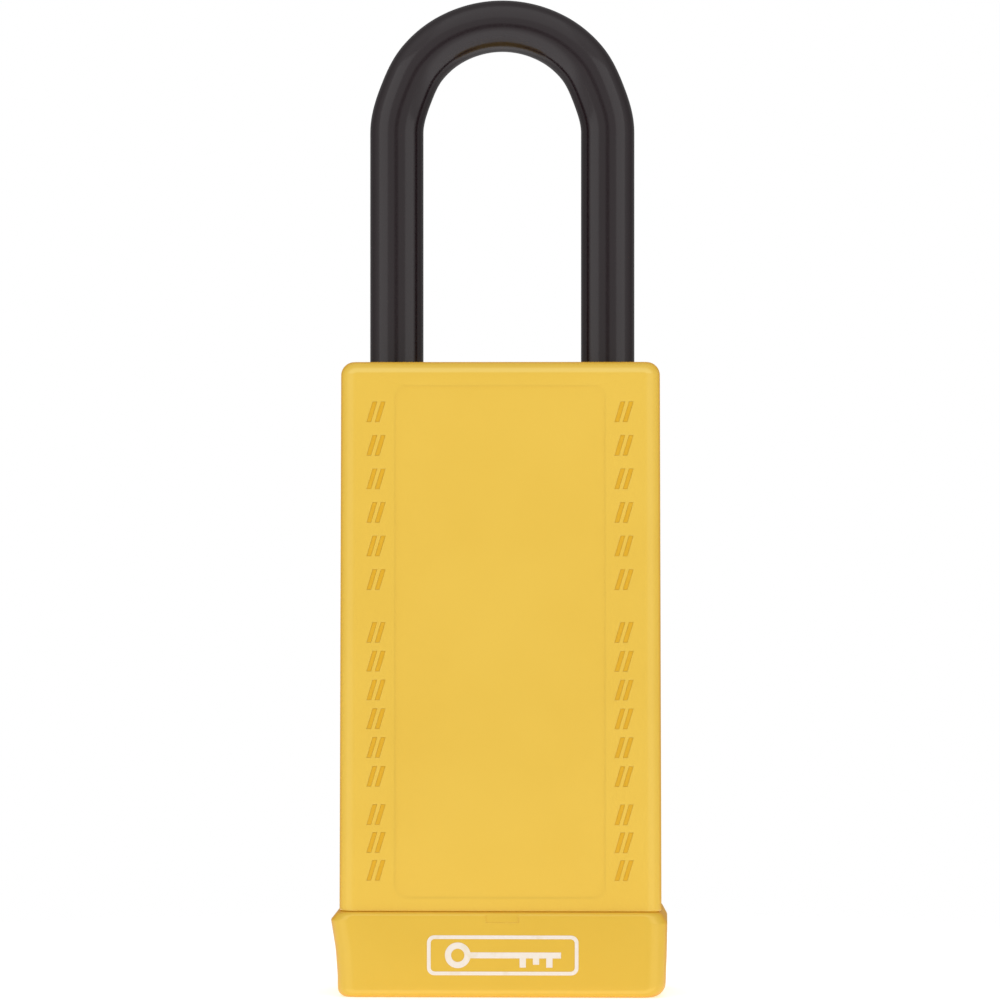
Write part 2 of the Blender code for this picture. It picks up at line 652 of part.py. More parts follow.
def build_cover():
    """The yellow sleeve over the body, open below, with the legs' holes and a front panel."""
    cover = block("body_cover", (-COVER_HALF_X_LOW, -COVER_HALF_Y, COVER_LOW_Z),
                  (COVER_HALF_X_LOW, COVER_HALF_Y, COVER_HIGH_Z), corner=COVER_CORNER,
                  bottom=COVER_BOTTOM_EDGE, top=COVER_TOP_EDGE,
                  top_shrink=COVER_HALF_X_HIGH / COVER_HALF_X_LOW)
    cut(cover, block("cover_hollow", (-HOLLOW_HALF_X, -HOLLOW_HALF_Y, COVER_LOW_Z - THROUGH),
                     (HOLLOW_HALF_X, HOLLOW_HALF_Y, COVER_CEILING_Z), corner=HOLLOW_CORNER,
                     as_cutter=True))
    for side, label in ((1.0, "right"), (-1.0, "left")):
        cut(cover, rod("leg_hole_" + label, SHEATH_BORE,
                       (side * LEG_X, 0.0, COVER_CEILING_Z - THROUGH),
                       (side * LEG_X, 0.0, COVER_HIGH_Z + THROUGH), as_cutter=True))
    outline = rounded_rectangle(-PANEL_HALF_X, PANEL_HALF_X, PANEL_LOW_Z, PANEL_HIGH_Z,
                                PANEL_CORNER)
    panel = plate("front_panel", outline, 0.0, THROUGH + PANEL_DEPTH, as_cutter=True)
    face_front(panel, -COVER_HALF_Y + PANEL_DEPTH - (THROUGH + PANEL_DEPTH) * 0.5)
    cut(cover, panel)
    finish(cover, (0.85, 0.56, 0.09), 0.42)


def build_base_cap():
    """The cup under the cover, with its leaning side, front ledge and key opening."""
    cap = block("base_cap", (CAP_LEFT_X, -CAP_HALF_Y, 0.0), (CAP_RIGHT_X, CAP_HALF_Y, CAP_HIGH_Z),
                corner=CAP_CORNER, bottom=CAP_BOTTOM_EDGE, top=CAP_TOP_EDGE)
    beyond = CAP_HIGH_Z + THROUGH
    flank = [(CAP_FLANK[0][0], -THROUGH), *CAP_FLANK, (CAP_FLANK[-1][0], beyond)]
    side_view = plate("cap_side_view", flank + [(CAP_RIGHT_X + THROUGH, beyond),
                                                (CAP_RIGHT_X + THROUGH, -THROUGH)],
                      -CAP_HALF_Y - THROUGH, CAP_HALF_Y + THROUGH, as_cutter=True)
    face_front(side_view, 0.0)
    combine(cap, side_view, "INTERSECT")
    cut(cap, block("cap_hollow", (-HOLLOW_HALF_X, -HOLLOW_HALF_Y, CAP_FLOOR),
                   (HOLLOW_HALF_X, HOLLOW_HALF_Y, CAP_HIGH_Z + THROUGH), corner=HOLLOW_CORNER,
                   as_cutter=True))
    cut(cap, rod("key_opening", KEY_OPENING, (0.0, 0.0, -THROUGH), (0.0, 0.0, CAP_FLOOR + THROUGH),
                 as_cutter=True))
    cut(cap, block("cap_ledge", (LEDGE_X[0], -CAP_HALF_Y - THROUGH, LEDGE_LOW_Z),
                   (LEDGE_X[1], -CAP_HALF_Y + LEDGE_DEPTH, CAP_HIGH_Z + THROUGH), as_cutter=True))
    finish(cap, (0.85, 0.53, 0.07), 0.42)


def main():
    """Build every part from the inside out."""
    build_lock_body()
    build_cylinder_housing()
    build_pins(build_plug())
    build_ball_lock()
    build_shackle()
    build_cover()
    build_base_cap()


main()
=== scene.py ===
"""Looks of a sleeved safety padlock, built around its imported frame.

Shapes are made in millimetres in the frame's own axes and turned into metres when a piece is
finished. Each sub-assembly is a class that builds its meshes and dresses them.
"""
import json
import logging
import math
from collections.abc import Iterable, Sequence
from dataclasses import dataclass, field
from enum import Enum

import bmesh
import bpy
from mathutils import Matrix, Vector


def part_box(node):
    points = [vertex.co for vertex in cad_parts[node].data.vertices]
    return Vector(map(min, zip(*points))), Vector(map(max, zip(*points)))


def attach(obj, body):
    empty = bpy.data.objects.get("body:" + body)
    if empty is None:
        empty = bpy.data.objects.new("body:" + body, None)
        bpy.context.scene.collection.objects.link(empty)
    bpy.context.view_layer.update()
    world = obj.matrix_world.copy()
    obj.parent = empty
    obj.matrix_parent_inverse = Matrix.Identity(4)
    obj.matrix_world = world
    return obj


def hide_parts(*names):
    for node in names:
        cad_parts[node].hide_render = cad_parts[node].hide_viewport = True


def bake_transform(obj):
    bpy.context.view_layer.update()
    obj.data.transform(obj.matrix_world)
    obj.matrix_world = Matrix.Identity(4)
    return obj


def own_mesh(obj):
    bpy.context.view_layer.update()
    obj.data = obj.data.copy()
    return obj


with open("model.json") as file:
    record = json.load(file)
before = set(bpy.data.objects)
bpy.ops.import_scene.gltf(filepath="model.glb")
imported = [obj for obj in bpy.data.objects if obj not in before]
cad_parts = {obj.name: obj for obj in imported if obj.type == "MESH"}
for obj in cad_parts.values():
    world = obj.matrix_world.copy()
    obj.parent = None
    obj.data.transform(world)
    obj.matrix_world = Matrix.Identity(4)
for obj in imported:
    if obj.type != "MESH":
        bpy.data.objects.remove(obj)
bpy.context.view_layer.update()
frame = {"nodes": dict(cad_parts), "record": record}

logging.basicConfig(level=logging.INFO, format="%(message)s")
LOG = logging.getLogger("safety_padlock")

MM = 0.001
AXIS_X = Vector((1.0, 0.0, 0.0))
AXIS_Y = Vector((0.0, 1.0, 0.0))
AXIS_Z = Vector((0.0, 0.0, 1.0))
QUARTER_TURN = math.pi / 2.0
FULL_CIRCLE_STEPS = 96
THROUGH = 0.5  # how far a cutter stands past the face that it opens
WELD = 0.0001  # points that lie this close become one
SAME_HEIGHT = 0.001  # how far a point may lie from a height and still be on it
FLAT_FACE = 0.999  # the least upright part of a flat face's normal
UPRIGHT_EDGE = 0.9  # the least share of an upright edge that runs along Z
RIM_STEPS = 2
MOUTH_STEPS = 5
BALL_STEPS = (64, 40)
WIRE_SIDES = 12
SHARP_ANGLE, ROUND_ANGLE, BALL_ANGLE = 40.0, 60.0, 80.0  # degrees past which edges stay sharp

Point = tuple[float, float]
Corner = tuple[float, float, float]


class Body(Enum):
    """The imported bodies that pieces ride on."""

    LOCK = "lock"
    SHACKLE = "shackle"
    PLUG = "cylinder_plug"
    CAM = "cam_group"
    RIGHT_BALL = "right_ball"
    LEFT_BALL = "left_ball"


class Slot(Enum):
    """The record's material slots."""

    COVER = "yellow_cover"
    CAP = "yellow_cap"
    SHEATH = "black_sheath"
    HARD_STEEL = "hardened_steel"
    SPRING_STEEL = "spring_steel"
    ALUMINIUM = "lock_aluminium"
    BRASS = "lock_brass"
    NICKEL = "nickel_silver"
    WHITE_PRINT = "white_print"
    ORANGE_PRINT = "orange_print"


class Operation(Enum):
    """What a Boolean does with its cutters."""

    CUT = "DIFFERENCE"
    JOIN = "UNION"


# ---------------------------------------------------------------------------- shapes


def box_mm(node: str) -> tuple[Vector, Vector]:
    """Lowest and highest corner of a CAD node, in millimetres.

    Args:
        node: the CAD node's name.

    Returns:
        The two corners.
    """
    low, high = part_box(node)
    return low / MM, high / MM


def object_of(name: str, shape: bmesh.types.BMesh) -> bpy.types.Object:
    """Turn a bmesh into an object with its normals pointing out.

    Args:
        name: the object's name.
        shape: the bmesh, which is freed.

    Returns:
        The new object.
    """
    bmesh.ops.remove_doubles(shape, verts=shape.verts, dist=WELD)
    bmesh.ops.recalc_face_normals(shape, faces=shape.faces)
    mesh = bpy.data.meshes.new(name)
    shape.to_mesh(mesh)
    shape.free()
    made = bpy.data.objects.new(name, mesh)
    bpy.context.scene.collection.objects.link(made)
    return made


def bake(piece: bpy.types.Object) -> bpy.types.Object:
    """Make a piece's modifiers part of its mesh.

    Args:
        piece: the object, whose modifiers are then gone.

    Returns:
        The same object.
    """
    bpy.context.view_layer.update()
    evaluated = piece.evaluated_get(bpy.context.evaluated_depsgraph_get())
    mesh = bpy.data.meshes.new_from_object(evaluated)
    piece.modifiers.clear()
    old = piece.data
    piece.data = mesh
    bpy.data.meshes.remove(old)
    mesh.name = piece.name
    return piece


def boolean(piece: bpy.types.Object, cutters: Iterable[bpy.types.Object],
            operation: Operation = Operation.CUT) -> bpy.types.Object:
    """Cut or join a piece with others, which are used up.

    Args:
        piece: the object that is changed.
        cutters: the objects that cut it or join it.
        operation: which of the two.

    Returns:
        The changed piece.
    """
    used = list(cutters)
    for cutter in used:
        modifier = piece.modifiers.new(cutter.name, "BOOLEAN")
        modifier.operation = operation.value
        modifier.solver = "EXACT"
        modifier.object = cutter
    bake(piece)
    for cutter in used:
        bpy.data.objects.remove(cutter, do_unlink=True)
    return piece


def turn_to(piece: bpy.types.Object, direction: Vector, place: Vector) -> bpy.types.Object:
    """Turn a mesh from Z to a direction and move it.

    Args:
        piece: the object whose mesh is moved.
        direction: where its Z axis then points.
        place: where its origin then lies.

    Returns:
        The same object.
    """
    turn = direction.to_track_quat("Z", "Y").to_matrix().to_4x4()
    piece.data.transform(Matrix.Translation(place) @ turn)
    return piece


def stand_up(piece: bpy.types.Object, y_front: float) -> bpy.types.Object:
    """Stand a flat plate up, so that its outline faces the front.

    Args:
        piece: a plate whose outline lies in X and Y.
        y_front: where the plate's zero height then lies along Y.

    Returns:
        The same object.
    """
    turn = Matrix.Rotation(QUARTER_TURN, 4, "X")
    piece.data.transform(Matrix.Translation(AXIS_Y * y_front) @ turn)
    return piece


def stand_sideways(piece: bpy.types.Object) -> bpy.types.Object:
    """Stand a flat plate up, so that its outline's x runs along Y and its y runs up."""
    piece.data.transform(Matrix(((0.0, 0.0, 1.0, 0.0), (1.0, 0.0, 0.0, 0.0),
                                 (0.0, 1.0, 0.0, 0.0), (0.0, 0.0, 0.0, 1.0))))
    return piece


def arc(centre: Point, radius: float, start: float, end: float, steps: int) -> list[Point]:
    """Points along an arc.

    Args:
        centre: the arc's middle.
        radius: its radius.
        start: first angle in radians.
        end: last angle in radians.
        steps: how many chords it has.

    Returns:
        The points, both ends included.
    """
    angles = [start + (end - start) * step / steps for step in range(steps + 1)]
    return [(centre[0] + radius * math.cos(a), centre[1] + radius * math.sin(a)) for a in angles]


def fillet(corners: Sequence[Corner], closed: bool = True, steps: int = 5) -> list[Point]:
    """Round the corners of an outline.

    Args:
        corners: each corner as x, y and the radius that it is rounded with.
        closed: whether the last corner joins the first.
        steps: chords to a rounded corner.

    Returns:
        The outline's points.
    """
    points: list[Point] = []
    count = len(corners)
    for index, (x, y, radius) in enumerate(corners):
        if radius <= 0.0 or (not closed and index in (0, count - 1)):
            points.append((x, y))
            continue
        here = Vector((x, y))
        back = (Vector(corners[index - 1][:2]) - here).normalized()
        ahead = (Vector(corners[(index + 1) % count][:2]) - here).normalized()
        half = back.angle(ahead) / 2.0
        centre = here + (back + ahead).normalized() * radius / math.sin(half)
        first = here + back * radius / math.tan(half) - centre
        last = here + ahead * radius / math.tan(half) - centre
        start = math.atan2(first.y, first.x)
        sweep = (math.atan2(last.y, last.x) - start + math.pi) % math.tau - math.pi
        points += arc((centre.x, centre.y), radius, start, start + sweep, steps)
    return points


def rectangle(left: float, right: float, bottom: float, top: float, radius: float,
              steps: int = 8) -> list[Point]:
    """Outline of a rectangle with round corners.

    Args:
        left: lowest x.
        right: highest x.
        bottom: lowest y.
        top: highest y.
        radius: the corners' radius.
        steps: chords to a corner.

    Returns:
        The outline's points.
    """
    corners = ((left, bottom, radius), (right, bottom, radius), (right, top, radius),
               (left, top, radius))
    return fillet(corners, steps=steps)


def level_edges(shape: bmesh.types.BMesh, height: float) -> list[bmesh.types.BMEdge]:
    """The edges of a bmesh at one height, without those inside a flat face."""
    return [edge for edge in shape.edges
            if all(abs(vert.co.z - height) < SAME_HEIGHT for vert in edge.verts)
            and not all(abs(face.normal.z) > FLAT_FACE for face in edge.link_faces)]


def round_off(shape: bmesh.types.BMesh, edges: Sequence[bmesh.types.BMEdge], radius: float,
              segments: int) -> None:
    """Round chosen edges of a bmesh.

    Args:
        shape: the bmesh.
        edges: the edges to round.
        radius: the rounding's radius.
        segments: its chords.
    """
    bmesh.ops.bevel(shape, geom=list(edges), offset=radius, segments=segments, profile=0.5,
                    affect="EDGES", clamp_overlap=True)


@dataclass(frozen=True)
class Rounding:
    """Radius and chords of a block's rounded edges."""

    radius: float
    segments: int


def block(name: str, low: Sequence[float], high: Sequence[float],
          upright: Rounding | None = None, bottom: Rounding | None = None,
          top: Rounding | None = None, top_shrink: float = 1.0) -> bpy.types.Object:
    """A box with rounded upright, bottom and top edges.

    Args:
        name: the object's name.
        low: its lowest corner.
        high: its highest corner.
        upright: rounding of the four upright edges.
        bottom: rounding of the bottom rim.
        top: rounding of the top rim.
        top_shrink: how much narrower the top is along X.

    Returns:
        The block.
    """
    shape = bmesh.new()
    bmesh.ops.create_cube(shape, size=1.0)
    low, high = Vector(low), Vector(high)
    bmesh.ops.scale(shape, verts=shape.verts, vec=high - low)
    upper = [vert for vert in shape.verts if vert.co.z > 0.0]
    bmesh.ops.scale(shape, verts=upper, vec=(top_shrink, 1.0, 1.0))
    bmesh.ops.translate(shape, verts=shape.verts, vec=(low + high) * 0.5)
    if upright:
        rising = [edge for edge in shape.edges if abs(
            edge.verts[0].co.z - edge.verts[1].co.z) > UPRIGHT_EDGE * edge.calc_length()]
        round_off(shape, rising, upright.radius, upright.segments)
    for height, rounding in ((low.z, bottom), (high.z, top)):
        if rounding:
            shape.normal_update()
            round_off(shape, level_edges(shape, height), rounding.radius, rounding.segments)
    return object_of(name, shape)


def plate(name: str, outline: Sequence[Point], low: float, high: float,
          edge: float = 0.0) -> bpy.types.Object:
    """A flat plate raised from an outline.

    Args:
        name: the object's name.
        outline: its points in X and Y.
        low: height of its lower face.
        high: height of its upper face.
        edge: radius of its upper and lower rims.

    Returns:
        The plate.
    """
    shape = bmesh.new()
    face = shape.faces.new([shape.verts.new((x, y, low)) for x, y in outline])
    raised = bmesh.ops.extrude_face_region(shape, geom=[face])["geom"]
    upper = [item for item in raised if isinstance(item, bmesh.types.BMVert)]
    bmesh.ops.translate(shape, verts=upper, vec=(0.0, 0.0, high - low))
    bmesh.ops.recalc_face_normals(shape, faces=shape.faces)
    if edge:
        shape.normal_update()
        rims = level_edges(shape, low) + level_edges(shape, high)
        round_off(shape, rims, edge, RIM_STEPS)
    return object_of(name, shape)


@dataclass(frozen=True)
class Level:
    """One level of a loft: its height and its rounded rectangle."""

    height: float
    left: float
    right: float
    half_y: float
    corner: float


def loft(name: str, levels: Sequence[Level], corner_steps: int = 10) -> bpy.types.Object:
    """A closed shape through rounded rectangles at rising heights.

    Args:
        name: the object's name.
        levels: its levels from the lowest up.
        corner_steps: chords to a corner.

    Returns:
        The shape, closed below and above.
    """
    shape = bmesh.new()
    loops = []
    for level in levels:
        outline = rectangle(level.left, level.right, -level.half_y, level.half_y, level.corner,
                            corner_steps)
        loops.append([shape.verts.new((x, y, level.height)) for x, y in outline])
    for lower, upper in zip(loops, loops[1:]):
        for index in range(len(lower)):
            following = (index + 1) % len(lower)
            shape.faces.new((lower[index], lower[following], upper[following], upper[index]))
    shape.faces.new(loops[0])
    shape.faces.new(loops[-1])
    return object_of(name, shape)


def read_at(line: Sequence[Point], height: float) -> float:
    """The x of a rising line at a height.

    Args:
        line: its points as x and height pairs, from the lowest up.
        height: where the line is read.

    Returns:
        The x, which stays the last point's above the line.
    """
    for (low_x, low), (high_x, high) in zip(line, line[1:]):
        if height <= high:
            share = (height - low) / (high - low)
            return low_x + (high_x - low_x) * share
    return line[-1][0]


def inset_at(height: float, low: float, high: float, low_radius: float,
             high_radius: float) -> float:
    """How far rounded lower and upper edges draw a side in at a height.

    Args:
        height: where the side is read.
        low: the side's lower end.
        high: its upper end.
        low_radius: radius of the lower edge.
        high_radius: radius of the upper edge.

    Returns:
        The inset, which is nothing between the two edges.
    """
    for radius, past in ((low_radius, low + low_radius - height),
                         (high_radius, height - high + high_radius)):
        if past > 0.0:
            return radius - math.sqrt(max(0.0, radius ** 2 - past ** 2))
    return 0.0


def lathe(name: str, profile: Sequence[Point], closed: bool = False,
          steps: int = FULL_CIRCLE_STEPS) -> bpy.types.Object:
    """A shape turned about Z.

    Args:
        name: the object's name.
        profile: its radius and height pairs.
        closed: whether the profile closes on itself, as on a tube.
        steps: chords to a full turn.

    Returns:
        The turned shape.
    """
    shape = bmesh.new()
    verts = [shape.verts.new((radius, 0.0, height)) for radius, height in profile]
    edges = [shape.edges.new(pair) for pair in zip(verts, verts[1:])]
    if closed:
        edges.append(shape.edges.new((verts[-1], verts[0])))
    bmesh.ops.spin(shape, geom=verts + edges, axis=AXIS_Z, cent=(0.0, 0.0, 0.0),
                   angle=math.tau, steps=steps, use_merge=True)
    return object_of(name, shape)


def drill(name: str, radius: float, start: Sequence[float], end: Sequence[float],
          flare: float = 0.0, steps: int = 64) -> bpy.types.Object:
    """A round cutter from one point to another.

    Args:
        name: the object's name.
        radius: the hole's radius.
        start: the blind end.
        end: the mouth, which lies on the cut surface.
        flare: radius of the mouth's rounded rim.
        steps: chords to a full turn.

    Returns:
        The cutter, which stands out of the mouth a little.
    """
    start, end = Vector(start), Vector(end)
    length = (end - start).length
    profile = [(0.0, 0.0), (radius, 0.0)]
    if flare:
        profile += arc((radius + flare, length - flare), flare, math.pi, QUARTER_TURN, MOUTH_STEPS)
    profile += [(radius + flare, length + THROUGH), (0.0, length + THROUGH)]
    return turn_to(lathe(name, profile, steps=steps), (end - start).normalized(), start)


def ball(name: str, radius: float, centre: Sequence[float]) -> bpy.types.Object:
    """A fine sphere.

    Args:
        name: the object's name.
        radius: its radius.
        centre: its middle.

    Returns:
        The sphere.
    """
    shape = bmesh.new()
    round_steps, rising_steps = BALL_STEPS
    bmesh.ops.create_uvsphere(shape, u_segments=round_steps, v_segments=rising_steps,
                              radius=radius)
    bmesh.ops.translate(shape, verts=shape.verts, vec=Vector(centre))
    return object_of(name, shape)


@dataclass(frozen=True)
class Station:
    """One ring of a swept tube whose middle line lies in the XZ plane."""

    centre: Vector
    along: Vector
    radius: float


def sweep(name: str, stations: Sequence[Station], sides: int, ring: bool) -> bpy.types.Object:
    """A tube through stations.

    Args:
        name: the object's name.
        stations: its rings in order.
        sides: points to a ring.
        ring: whether the last station joins the first, as on a tube with a wall. Otherwise
            both ends are filled.

    Returns:
        The swept shape.
    """
    shape = bmesh.new()
    loops = []
    angles = [math.tau * side / sides for side in range(sides)]
    for station in stations:
        across = AXIS_Y.cross(station.along).normalized()
        loops.append([shape.verts.new(station.centre + station.radius * (
            across * math.cos(angle) + AXIS_Y * math.sin(angle))) for angle in angles])
    pairs = list(zip(loops, loops[1:]))
    if ring:
        pairs.append((loops[-1], loops[0]))
    for first, second in pairs:
        for side in range(sides):
            following = (side + 1) % sides
            shape.faces.new((first[side], first[following], second[following], second[side]))
    if not ring:
        shape.faces.new(loops[0])
        shape.faces.new(loops[-1])
    return object_of(name, shape)


def sheath_legs() -> tuple[float, float]:
    """Outer radius of the sheathed legs and how far each stands from the middle.

    Returns:
        The radius and the distance, in millimetres.
    """
    low, high = box_mm("shackle_sheath")
    radius = (high.y - low.y) / 2.0
    return radius, (high.x - low.x) / 2.0 - radius


# ---------------------------------------------------------------------------- node trees


class Tree:
    """A small helper that builds a node tree and keeps its links short to write."""

    def __init__(self, tree: bpy.types.NodeTree) -> None:
        """Keep the tree that nodes are added to."""
        self.tree = tree

    def add(self, kind: str, settings: dict | None = None, **inputs: object) -> bpy.types.Node:
        """Add a node.

        Args:
            kind: the node's type name.
            settings: properties of the node.
            inputs: values or output sockets by input name, with _ for a space.

        Returns:
            The node.
        """
        node = self.tree.nodes.new(kind)
        for name, value in (settings or {}).items():
            setattr(node, name, value)
        for name, value in inputs.items():
            self.feed(node, name.replace("_", " "), value)
        return node

    def feed(self, node: bpy.types.Node, name: str | int, value: object) -> None:
        """Link a socket to a node's input, or set the input's value.

        Args:
            node: the node.
            name: the input's name or number.
            value: an output socket, or a plain value.
        """
        if isinstance(value, bpy.types.NodeSocket):
            self.tree.links.new(value, node.inputs[name])
        else:
            node.inputs[name].default_value = value

    def math(self, operation: str, first: object, second: object = 0.0,
             clamp: bool = False) -> bpy.types.NodeSocket:
        """Add a Math node.

        Args:
            operation: what it does.
            first: its first value or socket.
            second: its second value or socket.
            clamp: whether the result is kept between 0 and 1.

        Returns:
            Its output.
        """
        node = self.add("ShaderNodeMath", {"operation": operation, "use_clamp": clamp})
        self.feed(node, 0, first)
        self.feed(node, 1, second)
        return node.outputs[0]

    def vector(self, operation: str, *given: object) -> bpy.types.Node:
        """Add a Vector Math node.

        Args:
            operation: what it does.
            given: its vectors or sockets in order.

        Returns:
            The node, whose outputs are Vector and Value.
        """
        node = self.add("ShaderNodeVectorMath", {"operation": operation})
        for number, value in enumerate(given):
            self.feed(node, number, value)
        return node

    def bump(self, shader: bpy.types.Node, height: bpy.types.NodeSocket, strength: float,
             depth: float) -> None:
        """Give a shader's surface a fine relief.

        Args:
            shader: the shader.
            height: the relief's height.
            strength: how strongly it shows.
            depth: how deep it is, in metres.
        """
        relief = self.add("ShaderNodeBump", Strength=strength, Distance=depth, Height=height)
        self.feed(shader, "Normal", relief.outputs[0])

    def ramp(self, value: bpy.types.NodeSocket, low: float, high: float, to_low: float = 0.0,
             to_high: float = 1.0) -> bpy.types.NodeSocket:
        """Map a range of values smoothly onto another.

        Args:
            value: the socket that is mapped.
            low: start of its range.
            high: end of its range.
            to_low: what the start becomes.
            to_high: what the end becomes.

        Returns:
            The mapped output.
        """
        node = self.add("ShaderNodeMapRange", {"interpolation_type": "SMOOTHSTEP"})
        for name, given in (("Value", value), ("From Min", low), ("From Max", high),
                            ("To Min", to_low), ("To Max", to_high)):
            self.feed(node, name, given)
        return node.outputs[0]

    def mix(self, share: object, first: object, second: object) -> bpy.types.NodeSocket:
        """Mix two colours.

        Args:
            share: how much of the second there is.
            first: the first colour or socket.
            second: the second colour or socket.

        Returns:
            The mixed output.
        """
        node = self.add("ShaderNodeMix", {"data_type": "RGBA"})
        self.feed(node, 0, share)
        self.feed(node, 6, first)
        self.feed(node, 7, second)
        return node.outputs[2]

    def noise(self, vector: object, scale: float, detail: float = 3.0,
              roughness: float = 0.5) -> bpy.types.NodeSocket:
        """Add a noise texture.

        Args:
            vector: where it is read.
            scale: how fine it is.
            detail: how many finer layers it has.
            roughness: how strongly those show.

        Returns:
            Its value.
        """
        node = self.add("ShaderNodeTexNoise", Scale=scale, Detail=detail, Roughness=roughness)
        self.feed(node, "Vector", vector)
        return node.outputs[0]


def group_tree(name: str, kind: str, inputs: Sequence[tuple], outputs: Sequence[tuple]) -> tuple:
    """Start a node group with named sockets.

    Args:
        name: the group's name.
        kind: ShaderNodeTree or GeometryNodeTree.
        inputs: name, socket type and default value of each input.
        outputs: name and socket type of each output.

    Returns:
        The helper, the group's input node and its output node.
    """
    tree = bpy.data.node_groups.new(name, kind)
    for label, socket, default in inputs:
        made = tree.interface.new_socket(name=label, in_out="INPUT", socket_type=socket)
        if default is not None:
            made.default_value = default
    for label, socket in outputs:
        tree.interface.new_socket(name=label, in_out="OUTPUT", socket_type=socket)
    helper = Tree(tree)
    return helper, helper.add("NodeGroupInput"), helper.add("NodeGroupOutput")


def grow(name: str, tree: bpy.types.NodeTree, values: dict[str, object]) -> bpy.types.Object:
    """Run a Geometry Nodes tree and keep its result as a plain mesh.

    Args:
        name: the object's name.
        tree: the tree.
        values: the tree's inputs by name.

    Returns:
        The object, with no modifier left on it.
    """
    made = bpy.data.objects.new(name, bpy.data.meshes.new(name))
    bpy.context.scene.collection.objects.link(made)
    modifier = made.modifiers.new("grow", "NODES")
    modifier.node_group = tree
    for item in tree.interface.items_tree:
        if item.item_type == "SOCKET" and item.in_out == "INPUT" and item.name in values:
            modifier[item.identifier] = values[item.name]
    return bake(made)


def end_growth(tree: Tree, grown: bpy.types.Node, material: bpy.types.NodeSocket,
               result: bpy.types.Node) -> bpy.types.NodeTree:
    """End a Geometry Nodes tree with real geometry in its material.

    Args:
        tree: the tree's helper.
        grown: the node that puts out the geometry.
        material: the tree's material input.
        result: the tree's output node.

    Returns:
        The finished tree.
    """
    real = tree.add("GeometryNodeRealizeInstances", Geometry=grown.outputs[0])
    dressed = tree.add("GeometryNodeSetMaterial", Geometry=real.outputs[0], Material=material)
    tree.feed(result, 0, dressed.outputs[0])
    return tree.tree


def stripe_tree() -> bpy.types.NodeTree:
    """A column of leaning bars, one under the other.

    Returns:
        The Geometry Nodes tree.
    """
    tree, given, result = group_tree("stripe_column", "GeometryNodeTree", [
        ("Count", "NodeSocketInt", 6), ("Top", "NodeSocketVector", None),
        ("Pitch", "NodeSocketFloat", 4.0), ("Bars", "NodeSocketInt", 2),
        ("Bar Step", "NodeSocketFloat", 1.0), ("Bar", "NodeSocketVector", None),
        ("Lean", "NodeSocketFloat", 0.5), ("Material", "NodeSocketMaterial", None),
    ], [("Geometry", "NodeSocketGeometry")])
    sockets = given.outputs
    drop = tree.add("ShaderNodeCombineXYZ", Z=tree.math("MULTIPLY", sockets["Pitch"], -1.0))
    line = tree.add("GeometryNodeMeshLine", Count=sockets["Count"],
                    Start_Location=sockets["Top"], Offset=drop.outputs[0])
    bar = tree.add("GeometryNodeMeshCube", Size=sockets["Bar"])
    place = tree.add("GeometryNodeInputPosition")
    parts = tree.add("ShaderNodeSeparateXYZ", Vector=place.outputs[0])
    aside = tree.math("MULTIPLY", parts.outputs["Z"], sockets["Lean"])
    shift = tree.add("ShaderNodeCombineXYZ", X=aside)
    leaning = tree.add("GeometryNodeSetPosition", Geometry=bar.outputs["Mesh"],
                       Offset=shift.outputs[0])
    step = tree.add("ShaderNodeCombineXYZ", X=sockets["Bar Step"])
    reach = tree.math("MULTIPLY", tree.math("SUBTRACT", sockets["Bars"], 1.0),
                      tree.math("MULTIPLY", sockets["Bar Step"], -0.5))
    row = tree.add("GeometryNodeMeshLine", Count=sockets["Bars"], Offset=step.outputs[0],
                   Start_Location=tree.add("ShaderNodeCombineXYZ", X=reach).outputs[0])
    mark = tree.add("GeometryNodeInstanceOnPoints", Points=row.outputs[0],
                    Instance=leaning.outputs[0])
    copies = tree.add("GeometryNodeInstanceOnPoints", Points=line.outputs[0],
                      Instance=mark.outputs[0])
    return end_growth(tree, copies, sockets["Material"], result)


def coil_tree() -> bpy.types.NodeTree:
    """A compression spring along Z from height zero.

    Returns:
        The Geometry Nodes tree.
    """
    tree, given, result = group_tree("coil", "GeometryNodeTree", [
        ("Turns", "NodeSocketFloat", 8.0), ("Radius", "NodeSocketFloat", 1.0),
        ("Wire", "NodeSocketFloat", 0.2), ("Length", "NodeSocketFloat", 10.0),
        ("Steps", "NodeSocketInt", 32), ("Material", "NodeSocketMaterial", None),
    ], [("Geometry", "NodeSocketGeometry")])
    sockets = given.outputs
    path = tree.add("GeometryNodeCurveSpiral", Resolution=sockets["Steps"],
                    Rotations=sockets["Turns"], Start_Radius=sockets["Radius"],
                    End_Radius=sockets["Radius"], Height=sockets["Length"])
    section = tree.add("GeometryNodeCurvePrimitiveCircle", Resolution=WIRE_SIDES,
                       Radius=sockets["Wire"])
    wire = tree.add("GeometryNodeCurveToMesh", Curve=path.outputs[0],
                    Profile_Curve=section.outputs[0], Fill_Caps=True)
    return end_growth(tree, wire, sockets["Material"], result)


@dataclass(frozen=True)
class Coil:
    """A wire spring: its turns, its middle radius, its wire's radius and its steps to a turn."""

    turns: float
    radius: float
    wire: float
    steps: int

    def wind(self, name: str, tree: bpy.types.NodeTree, foot: Vector, along: Vector,
             length: float, material: bpy.types.Material) -> bpy.types.Object:
        """Grow the spring between two faces.

        Args:
            name: the object's name.
            tree: the coil tree.
            foot: middle of the spring on the first face.
            along: the direction from the first face to the second.
            length: the distance between them.
            material: the wire's material.

        Returns:
            The spring.
        """
        coil = grow(name, tree, {
            "Turns": self.turns, "Radius": self.radius, "Wire": self.wire,
            "Length": length - 2.0 * self.wire, "Steps": self.steps, "Material": material})
        return turn_to(coil, along, foot + along * self.wire)


# ---------------------------------------------------------------------------- finishes

